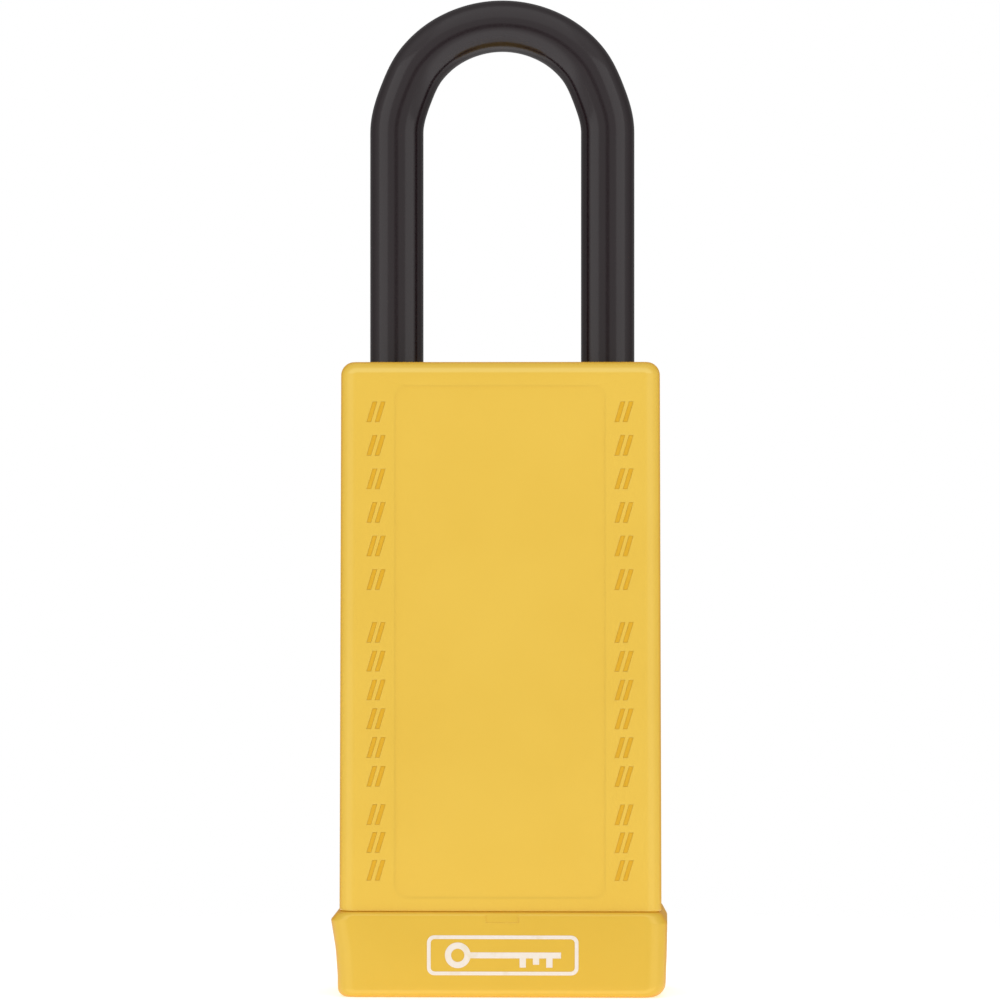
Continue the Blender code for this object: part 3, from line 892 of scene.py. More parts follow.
# Each pair is where a mask starts and ends its rise or fall.
MIDDLE = (0.3, 0.7)
BREAKS = (0.35, 0.65)
# The rim and ridge pairs shape painted highlights on the shoulders of rounded edges.
RIM_HIGHLIGHT_RISE, RIM_HIGHLIGHT_FALL = (0.005, 0.04), (0.1, 0.24)
RIDGE_HIGHLIGHT_RISE, RIDGE_HIGHLIGHT_FALL = (0.05, 0.2), (0.45, 0.7)
STAINS = (0.45, 0.75)
THIN_INK = (0.5, 0.8)
# How grain and patches share a skin's height, how fine stains are, and painted shade's even blend.
GRAIN_SHARE, PATCH_SHARE = 0.4, 0.6
STAIN_SCALE = 250.0
EVEN_BLEND = 0.5


def moulded_group() -> bpy.types.NodeTree:
    """Fine moulded grain and slow unevenness of a plastic skin.

    Returns:
        The shader group, with the outputs Grain, Height and Patch.
    """
    tree, given, result = group_tree("moulded_skin", "ShaderNodeTree", [
        ("Vector", "NodeSocketVector", None), ("Grain Scale", "NodeSocketFloat", 4000.0),
        ("Patch Scale", "NodeSocketFloat", 60.0),
    ], [("Grain", "NodeSocketFloat"), ("Height", "NodeSocketFloat"), ("Patch", "NodeSocketFloat")])
    vector = given.outputs["Vector"]
    grain = tree.noise(vector, given.outputs["Grain Scale"], 4.0, 0.6)
    patch = tree.noise(vector, given.outputs["Patch Scale"], 2.0, 0.5)
    height = tree.math("ADD", tree.math("MULTIPLY", grain, GRAIN_SHARE),
                       tree.math("MULTIPLY", patch, PATCH_SHARE))
    tree.feed(result, "Grain", grain)
    tree.feed(result, "Height", height)
    tree.feed(result, "Patch", patch)
    return tree.tree


def wear_and_highlight_group() -> bpy.types.NodeTree:
    """Masks for edges: a broken one where handling has polished them, and painted highlights.

    Returns:
        The shader group, with the outputs Mask, Rim for a painted highlight on the shoulders of
        every rounded edge and Ridge for a painted highlight on the lower shoulder of a level one.
    """
    tree, given, result = group_tree("edge_wear_and_highlight", "ShaderNodeTree", [
        ("Vector", "NodeSocketVector", None), ("Reach", "NodeSocketFloat", 0.0004),
        ("Gain", "NodeSocketFloat", 6.0), ("Break Scale", "NodeSocketFloat", 700.0),
    ], [("Mask", "NodeSocketFloat"), ("Rim", "NodeSocketFloat"), ("Ridge", "NodeSocketFloat")])
    rounded = tree.add("ShaderNodeBevel", {"samples": 4}, Radius=given.outputs["Reach"])
    surface = tree.add("ShaderNodeNewGeometry")
    agree = tree.vector("DOT_PRODUCT", rounded.outputs[0], surface.outputs["Normal"])
    bent = tree.math("SUBTRACT", 1.0, agree.outputs["Value"])
    broken = tree.noise(given.outputs["Vector"], given.outputs["Break Scale"], 3.0, 0.6)
    strong = tree.math("MULTIPLY", bent, given.outputs["Gain"])
    mask = tree.math("MULTIPLY", strong, tree.ramp(broken, *BREAKS), clamp=True)
    tree.feed(result, "Mask", mask)
    # Rim and Ridge are painted highlights: a lighter band on the shoulders of rounded edges, Ridge
    # only on level edges.
    flat = tree.vector("ABSOLUTE", surface.outputs["Normal"])
    parts = tree.add("ShaderNodeSeparateXYZ", Vector=flat.outputs[0])
    squarest = tree.math("MAXIMUM", tree.math("MAXIMUM", parts.outputs[0], parts.outputs[1]),
                         parts.outputs[2])
    tilt = tree.math("SUBTRACT", 1.0, squarest)
    rim = tree.math("MULTIPLY", tree.ramp(tilt, *RIM_HIGHLIGHT_RISE), tree.ramp(tilt, *RIM_HIGHLIGHT_FALL, 1.0, 0.0))
    tree.feed(result, "Rim", rim)
    level = tree.math("MULTIPLY", tree.ramp(parts.outputs[2], *RIDGE_HIGHLIGHT_RISE),
                      tree.ramp(parts.outputs[2], *RIDGE_HIGHLIGHT_FALL, 1.0, 0.0))
    tree.feed(result, "Ridge", tree.math("MULTIPLY", rim, level))
    return tree.tree


def machined_group() -> bpy.types.NodeTree:
    """Fine tool marks that run round or along a metal piece.

    Returns:
        The shader group, with the outputs Lines and Stain.
    """
    tree, given, result = group_tree("machined_skin", "ShaderNodeTree", [
        ("Vector", "NodeSocketVector", None), ("Stretch", "NodeSocketVector", None),
        ("Scale", "NodeSocketFloat", 3000.0),
    ], [("Lines", "NodeSocketFloat"), ("Stain", "NodeSocketFloat")])
    drawn = tree.vector("MULTIPLY", given.outputs["Vector"], given.outputs["Stretch"])
    tree.feed(result, "Lines", tree.noise(drawn.outputs[0], given.outputs["Scale"], 4.0, 0.6))
    tree.feed(result, "Stain", tree.noise(given.outputs["Vector"], STAIN_SCALE, 3.0, 0.6))
    return tree.tree


@dataclass(frozen=True)
class Skins:
    """The node groups that the finishes share."""

    moulded: bpy.types.NodeTree
    wear_and_highlight: bpy.types.NodeTree
    machined: bpy.types.NodeTree

    @classmethod
    def build(cls) -> "Skins":
        """Build each group once."""
        return cls(moulded_group(), wear_and_highlight_group(), machined_group())


def start_material(name: str) -> tuple[bpy.types.Material, Tree, bpy.types.Node,
                                       bpy.types.NodeSocket]:
    """Start a material with a Principled shader and object coordinates.

    Args:
        name: the material's name.

    Returns:
        The material, its tree helper, the shader and the coordinate output.
    """
    material = bpy.data.materials.new(name)
    material.use_nodes = True
    tree = Tree(material.node_tree)
    shader = material.node_tree.nodes["Principled BSDF"]
    place = tree.add("ShaderNodeTexCoord")
    return material, tree, shader, place.outputs["Object"]


Colour = tuple[float, float, float, float]
WHITE: Colour = (1.0, 1.0, 1.0, 1.0)


@dataclass(frozen=True)
class Plastic:
    """A moulded plastic: its colours, gloss, grain, painted edge highlights and painted shade."""

    name: str
    colour: Colour
    shade: Colour
    # worn colours the worn edges and also the painted edge highlights.
    worn: Colour
    roughness: float
    grain_scale: float = 5000.0
    grain_depth: float = 0.00001
    wear_gain: float = 2.0
    rim_highlight_gain: float = 0.0
    ridge_highlight_gain: float = 0.0
    grazing_shade: Colour | None = None
    grazing_shade_reach: Point = (0.35, 0.8)
    specular: float = 0.5
    gloss_spread: float = 0.06
    wear_polish: float = 0.1
    relief: float = 0.35

    def build(self, skins: Skins) -> bpy.types.Material:
        """Make the material.

        Args:
            skins: the shared node groups.

        Returns:
            The material.
        """
        material, tree, shader, place = start_material(self.name)
        skin = tree.add("ShaderNodeGroup", {"node_tree": skins.moulded}, Vector=place,
                        Grain_Scale=self.grain_scale)
        wear_and_highlight = tree.add("ShaderNodeGroup", {"node_tree": skins.wear_and_highlight}, Vector=place,
                        Gain=self.wear_gain)
        uneven = tree.ramp(skin.outputs["Patch"], *MIDDLE)
        plain = tree.mix(uneven, self.colour, self.shade)
        # Painted highlights: rim and ridge lighten the shoulders of rounded edges towards the worn
        # colour, together with the real worn edges.
        rim = tree.math("MULTIPLY", wear_and_highlight.outputs["Rim"], self.rim_highlight_gain)
        ridge = tree.math("MULTIPLY", wear_and_highlight.outputs["Ridge"], self.ridge_highlight_gain)
        edges = tree.math("MAXIMUM", wear_and_highlight.outputs["Mask"], tree.math("MAXIMUM", rim, ridge))
        tinted = tree.mix(edges, plain, self.worn)
        # Painted shade: a darker colour where the surface turns away from view, towards the
        # silhouette.
        if self.grazing_shade:
            grazing = tree.add("ShaderNodeLayerWeight", Blend=EVEN_BLEND).outputs["Facing"]
            tinted = tree.mix(tree.ramp(grazing, *self.grazing_shade_reach), tinted, self.grazing_shade)
        tree.feed(shader, "Base Color", tinted)
        spread = tree.ramp(skin.outputs["Grain"], *MIDDLE, self.roughness - self.gloss_spread,
                           self.roughness + self.gloss_spread)
        polish = tree.math("MULTIPLY", wear_and_highlight.outputs["Mask"], -self.wear_polish)
        tree.feed(shader, "Roughness", tree.math("ADD", spread, polish, clamp=True))
        tree.feed(shader, "Specular IOR Level", self.specular)
        tree.bump(shader, skin.outputs["Height"], self.relief, self.grain_depth)
        return material


@dataclass(frozen=True)
class Metal:
    """A machined metal: its colours, gloss and the way its tool marks run."""

    name: str
    colour: Colour
    stained: Colour
    roughness: float
    stretch: tuple[float, float, float] = (1.0, 1.0, 0.05)
    line_depth: float = 0.000006
    gloss_spread: float = 0.08
    wear_gain: float = 4.0
    wear_shine: float = 1.25
    relief: float = 0.3

    def build(self, skins: Skins) -> bpy.types.Material:
        """Make the material.

        Args:
            skins: the shared node groups.

        Returns:
            The material.
        """
        material, tree, shader, place = start_material(self.name)
        skin = tree.add("ShaderNodeGroup", {"node_tree": skins.machined}, Vector=place,
                        Stretch=self.stretch)
        wear_and_highlight = tree.add("ShaderNodeGroup", {"node_tree": skins.wear_and_highlight}, Vector=place,
                        Gain=self.wear_gain)
        stain = tree.ramp(skin.outputs["Stain"], *STAINS)
        plain = tree.mix(stain, self.colour, self.stained)
        bright = tuple(min(1.0, part * self.wear_shine) for part in self.colour)
        tree.feed(shader, "Base Color", tree.mix(wear_and_highlight.outputs["Mask"], plain, bright))
        tree.feed(shader, "Roughness", tree.ramp(
            skin.outputs["Lines"], *MIDDLE, self.roughness - self.gloss_spread,
            self.roughness + self.gloss_spread))
        tree.feed(shader, "Metallic", 1.0)
        tree.bump(shader, skin.outputs["Lines"], self.relief, self.line_depth)
        return material


@dataclass(frozen=True)
class Ink:
    """A printed or painted mark: its colour, thinner patches and gloss."""

    name: str
    colour: Colour
    thin: Colour
    roughness: float = 0.4
    grain_scale: float = 2500.0
    patch_scale: float = 900.0
    grain_depth: float = 0.00001
    gloss_spread: float = 0.08
    relief: float = 0.2

    def build(self, skins: Skins) -> bpy.types.Material:
        """Make the material.

        Args:
            skins: the shared node groups.

        Returns:
            The material.
        """
        material, tree, shader, place = start_material(self.name)
        skin = tree.add("ShaderNodeGroup", {"node_tree": skins.moulded}, Vector=place,
                        Grain_Scale=self.grain_scale, Patch_Scale=self.patch_scale)
        worn = tree.ramp(skin.outputs["Patch"], *THIN_INK)
        tree.feed(shader, "Base Color", tree.mix(worn, self.colour, self.thin))
        tree.feed(shader, "Roughness", tree.ramp(
            skin.outputs["Grain"], *MIDDLE, self.roughness - self.gloss_spread,
            self.roughness + self.gloss_spread))
        tree.bump(shader, skin.outputs["Grain"], self.relief, self.grain_depth)
        return material


FINISHES: dict[Slot, Plastic | Metal | Ink] = {
    # The cover and the cap paint highlights on their rounded edges in their worn colour, and paint
    # shade towards their silhouettes.
    Slot.COVER: Plastic("cover_yellow", (0.865, 0.560, 0.062, 1.0), (0.845, 0.540, 0.055, 1.0),
                        (0.95, 0.68, 0.15, 1.0), 0.42, rim_highlight_gain=0.15, ridge_highlight_gain=0.7,
                        grazing_shade=(0.83, 0.44, 0.02, 1.0)),
    Slot.CAP: Plastic("cap_yellow", (0.79, 0.505, 0.043, 1.0), (0.77, 0.485, 0.037, 1.0),
                      (0.93, 0.64, 0.12, 1.0), 0.42, rim_highlight_gain=0.15, ridge_highlight_gain=0.35,
                      grazing_shade=(0.78, 0.40, 0.02, 1.0)),
    Slot.SHEATH: Plastic("sheath_black", (0.0138, 0.0072, 0.0092, 1.0),
                         (0.0125, 0.0064, 0.0082, 1.0), (0.03, 0.026, 0.027, 1.0), 0.17,
                         wear_gain=0.6),
    Slot.HARD_STEEL: Metal("hard_steel", (0.60, 0.60, 0.61, 1.0), (0.47, 0.46, 0.45, 1.0), 0.26),
    Slot.SPRING_STEEL: Metal("spring_steel", (0.50, 0.50, 0.51, 1.0), (0.36, 0.35, 0.34, 1.0),
                             0.32),
    Slot.ALUMINIUM: Metal("aluminium", (0.78, 0.79, 0.80, 1.0), (0.68, 0.69, 0.70, 1.0), 0.36),
    Slot.BRASS: Metal("brass", (0.78, 0.58, 0.28, 1.0), (0.62, 0.42, 0.17, 1.0), 0.28),
    Slot.NICKEL: Metal("nickel_silver", (0.68, 0.66, 0.61, 1.0), (0.55, 0.53, 0.48, 1.0), 0.28),
    Slot.WHITE_PRINT: Ink("white_ink", (0.875, 0.805, 0.73, 1.0), (0.825, 0.74, 0.60, 1.0)),
    Slot.ORANGE_PRINT: Ink("orange_ink", (0.79, 0.425, 0.006, 1.0), (0.80, 0.45, 0.012, 1.0)),
}


@dataclass
class Wardrobe:
    """Makes each finish once and dresses pieces in it."""

    skins: Skins
    made: dict[Slot, bpy.types.Material] = field(default_factory=dict)

    def material(self, slot: Slot) -> bpy.types.Material:
        """The material of a slot, made when it is first asked for.

        Args:
            slot: the slot.

        Returns:
            Its material.
        """
        if slot not in self.made:
            self.made[slot] = FINISHES[slot].build(self.skins)
        return self.made[slot]

    def dress(self, piece: bpy.types.Object, slot: Slot, stands_for: Sequence[str],
              sharp: float) -> bpy.types.Object:
        """Bring a finished piece to metres and give it its finish.

        Args:
            piece: the object, in millimetres at the origin.
            slot: its finish.
            stands_for: the CAD nodes that it takes the place of.
            sharp: the angle in degrees past which an edge stays sharp.

        Returns:
            The same object.
        """
        piece.data.transform(Matrix.Scale(MM, 4))
        piece.data.materials.clear()
        piece.data.materials.append(self.material(slot))
        piece.data.shade_smooth()
        piece.data.set_sharp_from_angle(angle=math.radians(sharp))
        even = piece.modifiers.new("even_normals", "WEIGHTED_NORMAL")
        even.keep_sharp = True
        bake(piece)
        if stands_for:
            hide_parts(*stands_for)
        return piece

    def settle(self, piece: bpy.types.Object, body: Body | str, slot: Slot,
               stands_for: Sequence[str] = (), sharp: float = SHARP_ANGLE) -> bpy.types.Object:
        """Dress a finished piece and tie it to its body.

        Args:
            piece: the object, in millimetres at the origin.
            body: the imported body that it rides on.
            slot: its finish.
            stands_for: the CAD nodes that it takes the place of.
            sharp: the angle in degrees past which an edge stays sharp.

        Returns:
            The same object.
        """
        self.dress(piece, slot, stands_for, sharp)
        name = body.value if isinstance(body, Body) else body
        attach(piece, name)
        LOG.info("%s rides on %s with %d faces", piece.name, name, len(piece.data.polygons))
        return piece


# ---------------------------------------------------------------------------- cover and cap


@dataclass
class SubAssembly:
    """A group of pieces that take their finishes from one wardrobe."""

    wardrobe: Wardrobe


@dataclass
class StripeGroup:
    """One group of warning stripes: how many, and where the first and last are centred."""

    count: int
    first_z: float
    last_z: float

    @property
    def pitch(self) -> float:
        """Distance from stripe to stripe."""
        return (self.first_z - self.last_z) / (self.count - 1)


@dataclass
class Cover(SubAssembly):
    """The drafted yellow sleeve with its panel and its two columns of warning stripes."""

    draft: float = 0.2
    corner: Rounding = Rounding(2.0, 12)
    top_edge: Rounding = Rounding(1.6, 10)
    bottom_edge: Rounding = Rounding(0.3, 3)
    hollow_half: Point = (17.2, 8.0)
    hollow_corner: Rounding = Rounding(1.3, 6)
    hollow_top: Rounding = Rounding(0.5, 3)
    ceiling_z: float = 74.0
    leg_gap: float = 0.25
    leg_rim: float = 0.3
    panel_half_x: float = 12.55
    panel_z: Point = (12.1, 73.45)
    panel_corner: float = 1.5
    panel_depth: float = 0.15
    panel_corner_steps: int = 10
    panel_flare: float = 0.9
    low_z: float = 10.28
    high_z: float = 76.42
    stripe_x: float = 14.9
    stripe: tuple[float, float, float] = (0.5, 0.5, 2.4)
    stripe_bars: int = 2
    stripe_step: float = 1.0
    stripe_lean: float = 0.3
    stripe_depth: float = 0.12
    stripe_sink: float = 0.1
    pocket_gap: float = 0.06
    groups: tuple[StripeGroup, ...] = (StripeGroup(6, 70.4, 50.25), StripeGroup(6, 43.9, 26.6),
                                       StripeGroup(3, 22.0, 15.3))

    def columns(self) -> list[tuple[float, StripeGroup]]:
        """Each side's groups of stripes."""
        return [(side * self.stripe_x, group) for side in (-1.0, 1.0) for group in self.groups]

    def stripes(self, name: str, tree: bpy.types.NodeTree, front: float, grow_by: float,
                material: bpy.types.Material) -> list[bpy.types.Object]:
        """Grow every group of stripes.

        Args:
            name: the start of the objects' names.
            tree: the stripe column tree.
            front: how far forward the stripes' middle lies along Y.
            grow_by: how much wider and taller each bar is than its size.
            material: the stripes' material.

        Returns:
            One object for each group.
        """
        width, thick, height = self.stripe
        size = (width + grow_by, thick, height + grow_by)
        return [grow(f"{name}_{number}", tree, {
            "Count": group.count, "Top": (x, front, group.first_z), "Pitch": group.pitch,
            "Bars": self.stripe_bars, "Bar Step": self.stripe_step, "Bar": size,
            "Lean": self.stripe_lean, "Material": material,
        }) for number, (x, group) in enumerate(self.columns(), 1)]

    def panel_cutter(self, front: float) -> bpy.types.Object:
        """A tray-shaped cutter for the front panel, with sloping sides.

        Args:
            front: where the sleeve's front face lies along Y.

        Returns:
            The cutter.
        """
        low, high = self.panel_z
        outline = rectangle(-self.panel_half_x, self.panel_half_x, low, high,
                            self.panel_corner, self.panel_corner_steps)
        cutter = plate("panel_cutter", outline, 0.0, THROUGH + self.panel_depth)
        middle = Vector((0.0, (low + high) / 2.0, 0.0))
        widen_x = 1.0 + self.panel_flare / self.panel_half_x
        widen_y = 1.0 + self.panel_flare / ((high - low) / 2.0)
        for vert in cutter.data.vertices:
            if vert.co.z > THROUGH:
                offset = vert.co - middle
                vert.co.x = middle.x + offset.x * widen_x
                vert.co.y = middle.y + offset.y * widen_y
        cutter.data.update()
        return stand_up(cutter, front + self.panel_depth)

    def build(self) -> None:
        """Make and dress the sleeve and its stripes."""
        low, high = box_mm("body_cover")
        low.z, high.z = self.low_z, self.high_z
        leg_radius, leg_x = sheath_legs()
        shell = block("cover_shell", low, high, self.corner, self.bottom_edge, self.top_edge,
                      top_shrink=(high.x - self.draft) / high.x)
        half_x, half_y = self.hollow_half
        cutters = [block("cover_hollow", (-half_x, -half_y, low.z - THROUGH),
                         (half_x, half_y, self.ceiling_z), self.hollow_corner, None,
                         self.hollow_top)]
        for side in (-1.0, 1.0):
            x = side * leg_x
            cutters.append(drill("leg_hole", leg_radius + self.leg_gap,
                                 (x, 0.0, self.ceiling_z - THROUGH), (x, 0.0, high.z),
                                 self.leg_rim, FULL_CIRCLE_STEPS))
        cutters.append(self.panel_cutter(low.y))
        boolean(shell, cutters)
        tree = stripe_tree()
        ink = self.wardrobe.material(Slot.ORANGE_PRINT)
        deepest = low.y + self.stripe_depth
        half = self.stripe[1] / 2.0
        boolean(shell, self.stripes("stripe_pocket", tree, deepest - half, self.pocket_gap, ink))
        self.wardrobe.settle(shell, Body.LOCK, Slot.COVER, ["body_cover"])
        front = deepest + half - self.stripe_sink
        for stripe in self.stripes("warning_stripes", tree, front, 0.0, ink):
            self.wardrobe.settle(stripe, Body.LOCK, Slot.ORANGE_PRINT)


@dataclass
class BaseCap(SubAssembly):
    """The yellow cup under the sleeve: leaning side, front ledge, key opening and emblem."""

    corner: float = 2.4
    left_bottom: float = 1.1
    right_bottom: float = 1.7
    front_bottom: float = 1.2
    top_edge: float = 0.4
    front_top: float = 0.55
    left_line: tuple[Corner, ...] = ((-19.6, 0.0, 0.0), (-19.62, 2.6, 6.0), (-19.86, 5.8, 6.0),
                                     (-20.42, 9.3, 0.35), (-19.35, 10.6, 0.0))
    right_line: tuple[Corner, ...] = ((19.85, 0.0, 0.0), (20.05, 5.5, 0.0), (20.1, 8.9, 0.5),
                                      (19.2, 10.6, 0.0))
    line_steps: int = 6
    edge_steps: int = 10
    side_z: Point = (7.0, 8.0)
    side_steps: tuple[int, int] = (7, 20)
    floor: float = 2.3
    hollow_half: Point = (17.2, 8.0)
    hollow_corner: Rounding = Rounding(1.3, 6)
    key_opening: float = 5.2
    key_opening_rim: float = 0.4
    ledge_x: Point = (-1.7, 2.3)
    ledge_z: float = 9.0
    ledge_depth: float = 0.1
    emblem_x: float = 0.35
    emblem_z: float = 5.15
    emblem_half: Point = (9.1, 2.4)
    emblem_line: float = 0.45
    emblem_rise: float = 0.05
    emblem_edge: float = 0.02
    emblem_corners: Point = (0.9, 0.5)
    key_bow: float = 1.55
    key_bow_steps: int = 40
    key_bow_hole: float = 0.8
    key_bow_x: float = -5.4
    key_shank: float = 0.36
    key_tip: float = 7.0
    key_tooth_half: float = 0.38
    key_teeth: tuple[Point, ...] = ((2.4, 1.1), (4.0, 0.75), (5.6, 1.1))

    def levels(self, low: Vector, high: Vector) -> list[Level]:
        """Levels of the cup, close together where its edges are round.

        Args:
            low: the cap's lowest corner.
            high: its highest corner.

        Returns:
            The levels from the lowest up.
        """
        left = fillet(self.left_line, closed=False, steps=self.line_steps)
        right = fillet(self.right_line, closed=False, steps=self.line_steps)
        bottom_round = max(self.left_bottom, self.right_bottom, self.front_bottom)
        top_round = max(self.top_edge, self.front_top)
        turns = [QUARTER_TURN * step / self.edge_steps for step in range(self.edge_steps + 1)]
        side_end, lip_start = self.side_z
        side_steps, lip_steps = self.side_steps
        lip_end = high.z - top_round
        heights = [bottom_round * (1.0 - math.cos(turn)) for turn in turns]
        heights += [bottom_round + (side_end - bottom_round) * step / side_steps
                    for step in range(1, side_steps + 1)]
        heights += [lip_start + (lip_end - lip_start) * step / lip_steps
                    for step in range(lip_steps + 1)]
        heights += [lip_end + top_round * math.sin(turn) for turn in turns[1:]]
        made = []
        for height in heights:
            on_left, on_right, in_front = (
                inset_at(height, low.z, high.z, bottom, top)
                for bottom, top in ((self.left_bottom, self.top_edge),
                                    (self.right_bottom, self.top_edge),
                                    (self.front_bottom, self.front_top)))
            made.append(Level(height, read_at(left, height) + on_left,
                              read_at(right, height) - on_right, high.y - in_front,
                              self.corner - in_front))
        return made

    def build(self) -> None:
        """Make and dress the cap and its emblem."""
        low, high = box_mm("base_cap")
        cup = loft("cap_cup", self.levels(low, high))
        half_x, half_y = self.hollow_half
        front = low.y
        ledge = [(front - THROUGH, self.ledge_z - THROUGH),
                 (front + self.ledge_depth, self.ledge_z + self.ledge_depth),
                 (front + self.ledge_depth, high.z + THROUGH), (front - THROUGH, high.z + THROUGH)]
        boolean(cup, [
            block("cap_hollow", (-half_x, -half_y, self.floor), (half_x, half_y, high.z + THROUGH),
                  self.hollow_corner),
            drill("key_opening", self.key_opening, (0.0, 0.0, self.floor + THROUGH),
                  (0.0, 0.0, low.z), self.key_opening_rim, FULL_CIRCLE_STEPS),
            stand_sideways(plate("cap_ledge", ledge, *self.ledge_x)),
        ])
        self.wardrobe.settle(cup, Body.LOCK, Slot.CAP, ["base_cap"])
        self.build_emblem(front)

    def key_outline(self) -> list[Point]:
        """Outline of a plain key that lies along X, its bow to the left.

        Returns:
            The outline's points.
        """
        bow, shank, tip = self.key_bow, self.key_shank, self.key_tip
        join = math.asin(shank / bow)
        points = arc((self.key_bow_x, 0.0), bow, join, math.tau - join, self.key_bow_steps)
        half = self.key_tooth_half
        for x, length in self.key_teeth:
            points += [(x - half, -shank), (x - half, -shank - length), (x + half, -shank - length),
                       (x + half, -shank)]
        return points + [(tip, -shank), (tip, shank)]

    def build_emblem(self, front: float) -> None:
        """Make a plain framed key in white print on the cap's front.

        Args:
            front: where the cap's front face lies along Y.
        """
        half_x, half_z = self.emblem_half
        line = self.emblem_line
        rise = self.emblem_rise
        outer, inner = self.emblem_corners
        outline = rectangle(-half_x, half_x, -half_z, half_z, outer)
        opening = rectangle(line - half_x, half_x - line, line - half_z, half_z - line, inner)
        frame_plate = plate("cap_emblem_frame", outline, -rise, rise, self.emblem_edge)
        boolean(frame_plate, [plate("emblem_window", opening, -THROUGH, THROUGH)])
        key = plate("cap_emblem_key", self.key_outline(), -rise, rise, self.emblem_edge)
        boolean(key, [drill("bow_hole", self.key_bow_hole, (self.key_bow_x, 0.0, -THROUGH),
                            (self.key_bow_x, 0.0, THROUGH))])
        for print_piece in (frame_plate, key):
            stand_up(print_piece, front)
            print_piece.data.transform(Matrix.Translation((self.emblem_x, 0.0, self.emblem_z)))
            self.wardrobe.settle(print_piece, Body.LOCK, Slot.WHITE_PRINT)


# ---------------------------------------------------------------------------- shackle


@dataclass
class Shackle(SubAssembly):
    """The steel U in its plastic sheath."""

    wall: float = 0.6
    core_radius: float = 2.5
    sides: int = 64
    crown_fullness: float = 0.18
    crown_from: float = 0.35
    crown_over: float = 0.7
    shoulder_flat: float = 0.2
    shoulder_end: float = math.radians(42.0)
    crown_thinning: float = 0.12
    bend_steps: int = 96
    rim_steps: int = 8
    toe_end_z: float = 63.4
    toe_round: tuple[Point, ...] = ((1.2, 0.0), (0.7, 0.08), (0.25, 0.35), (0.0, 0.8))
    heel_end_z: float = 42.0
    end_chamfer: float = 0.6
    neck_radius: float = 2.0
    neck_z: Point = (52.7, 70.0)
    neck_edge: float = 0.15
    neck_fillet: Point = (0.1, 0.3)
    notch_x: float = 8.45
    notch_z: float = 68.0
    notch_radius: float = 3.4

    def reach_at(self, rise: float) -> float:
        """How far the middle line stands out past a plain half circle.

        Args:
            rise: the angle above the nearer leg's shoulder.

        Returns:
            The offset, which is below zero over the shoulder and above it at the crown.
        """
        share = min(1.0, max(0.0, (rise - self.crown_from) / self.crown_over))
        full = self.crown_fullness * share * share * (3.0 - 2.0 * share)
        if rise >= self.shoulder_end:
            return full
        return full - self.shoulder_flat * math.sin(math.pi * rise / self.shoulder_end) ** 2

    def bend(self, radius: float, thinning: float = 0.0) -> list[Station]:
        """Stations round the bend, from the left leg to the right one.

        Args:
            radius: the tube's radius on the legs.
            thinning: how much smaller it is at the crown.

        Returns:
            The stations.
        """
        outer, leg_x = sheath_legs()
        centre_z = box_mm("shackle_sheath")[1].z - outer - leg_x
        points, radii = [], []
        for step in range(self.bend_steps + 1):
            angle = math.pi * (1.0 - step / self.bend_steps)
            reach = leg_x + self.reach_at(min(angle, math.pi - angle))
            points.append(Vector((reach * math.cos(angle), 0.0,
                                  centre_z + reach * math.sin(angle))))
            radii.append(radius - thinning * math.sin(angle) ** 2)
        last = len(points) - 1
        rings = []
        for index, point in enumerate(points):
            along = points[min(index + 1, last)] - points[max(index - 1, 0)]
            if index in (0, last):
                along = AXIS_Z * (1.0 if index == 0 else -1.0)
            rings.append(Station(point, along.normalized(), radii[index]))
        return rings

    def end_rings(self, side: float) -> list[Station]:
        """Rings round the sheath's rounded end on one leg.

        Args:
            side: -1 for the left leg and 1 for the right one.

        Returns:
            The rings from the outer face to the inner one.
        """
        outer, leg_x = sheath_legs()
        rim = self.wall / 2.0
        bottom = box_mm("shackle_sheath")[0].z + rim
        angles = [math.pi * step / self.rim_steps for step in range(self.rim_steps + 1)]
        return [Station(Vector((side * leg_x, 0.0, bottom - rim * math.sin(angle))),
                        AXIS_Z * -side, outer - rim + rim * math.cos(angle)) for angle in angles]

    def build(self) -> None:
        """Make and dress the sheath and the core."""
        outer, leg_x = sheath_legs()
        stations = self.bend(outer, self.crown_thinning) + self.end_rings(1.0)
        stations += self.bend(outer - self.wall, self.crown_thinning)[::-1]
        stations += self.end_rings(-1.0)[::-1]
        sheath = sweep("sheath_tube", stations, self.sides, ring=True)
        self.wardrobe.settle(sheath, Body.SHACKLE, Slot.SHEATH, ["shackle_sheath"], ROUND_ANGLE)

        full, neck, chamfer = self.core_radius, self.neck_radius, self.end_chamfer
        (low, high), edge, (near, wide) = self.neck_z, self.neck_edge, self.neck_fillet
        heel = [(self.heel_end_z, full - chamfer), (self.heel_end_z + chamfer, full),
                (low - edge, full), (low, full - edge), (low, neck + wide),
                (low + near, neck + near), (low + wide, neck), (high - wide, neck),
                (high - near, neck + near), (high, neck + wide), (high, full - edge),
                (high + edge, full)]
        rings = [Station(Vector((-leg_x, 0.0, z)), AXIS_Z, radius) for z, radius in heel]
        rings += self.bend(full, self.crown_thinning)
        rings += [Station(Vector((leg_x, 0.0, self.toe_end_z + above)), -AXIS_Z, full - inwards)
                  for above, inwards in self.toe_round]
        core = sweep("shackle_rod", rings, self.sides, ring=False)
        boolean(core, [ball("notch", self.notch_radius, (side * self.notch_x, 0.0, self.notch_z))
                       for side in (-1.0, 1.0)])
        self.wardrobe.settle(core, Body.SHACKLE, Slot.HARD_STEEL, ["shackle_core"])


# ---------------------------------------------------------------------------- lock parts


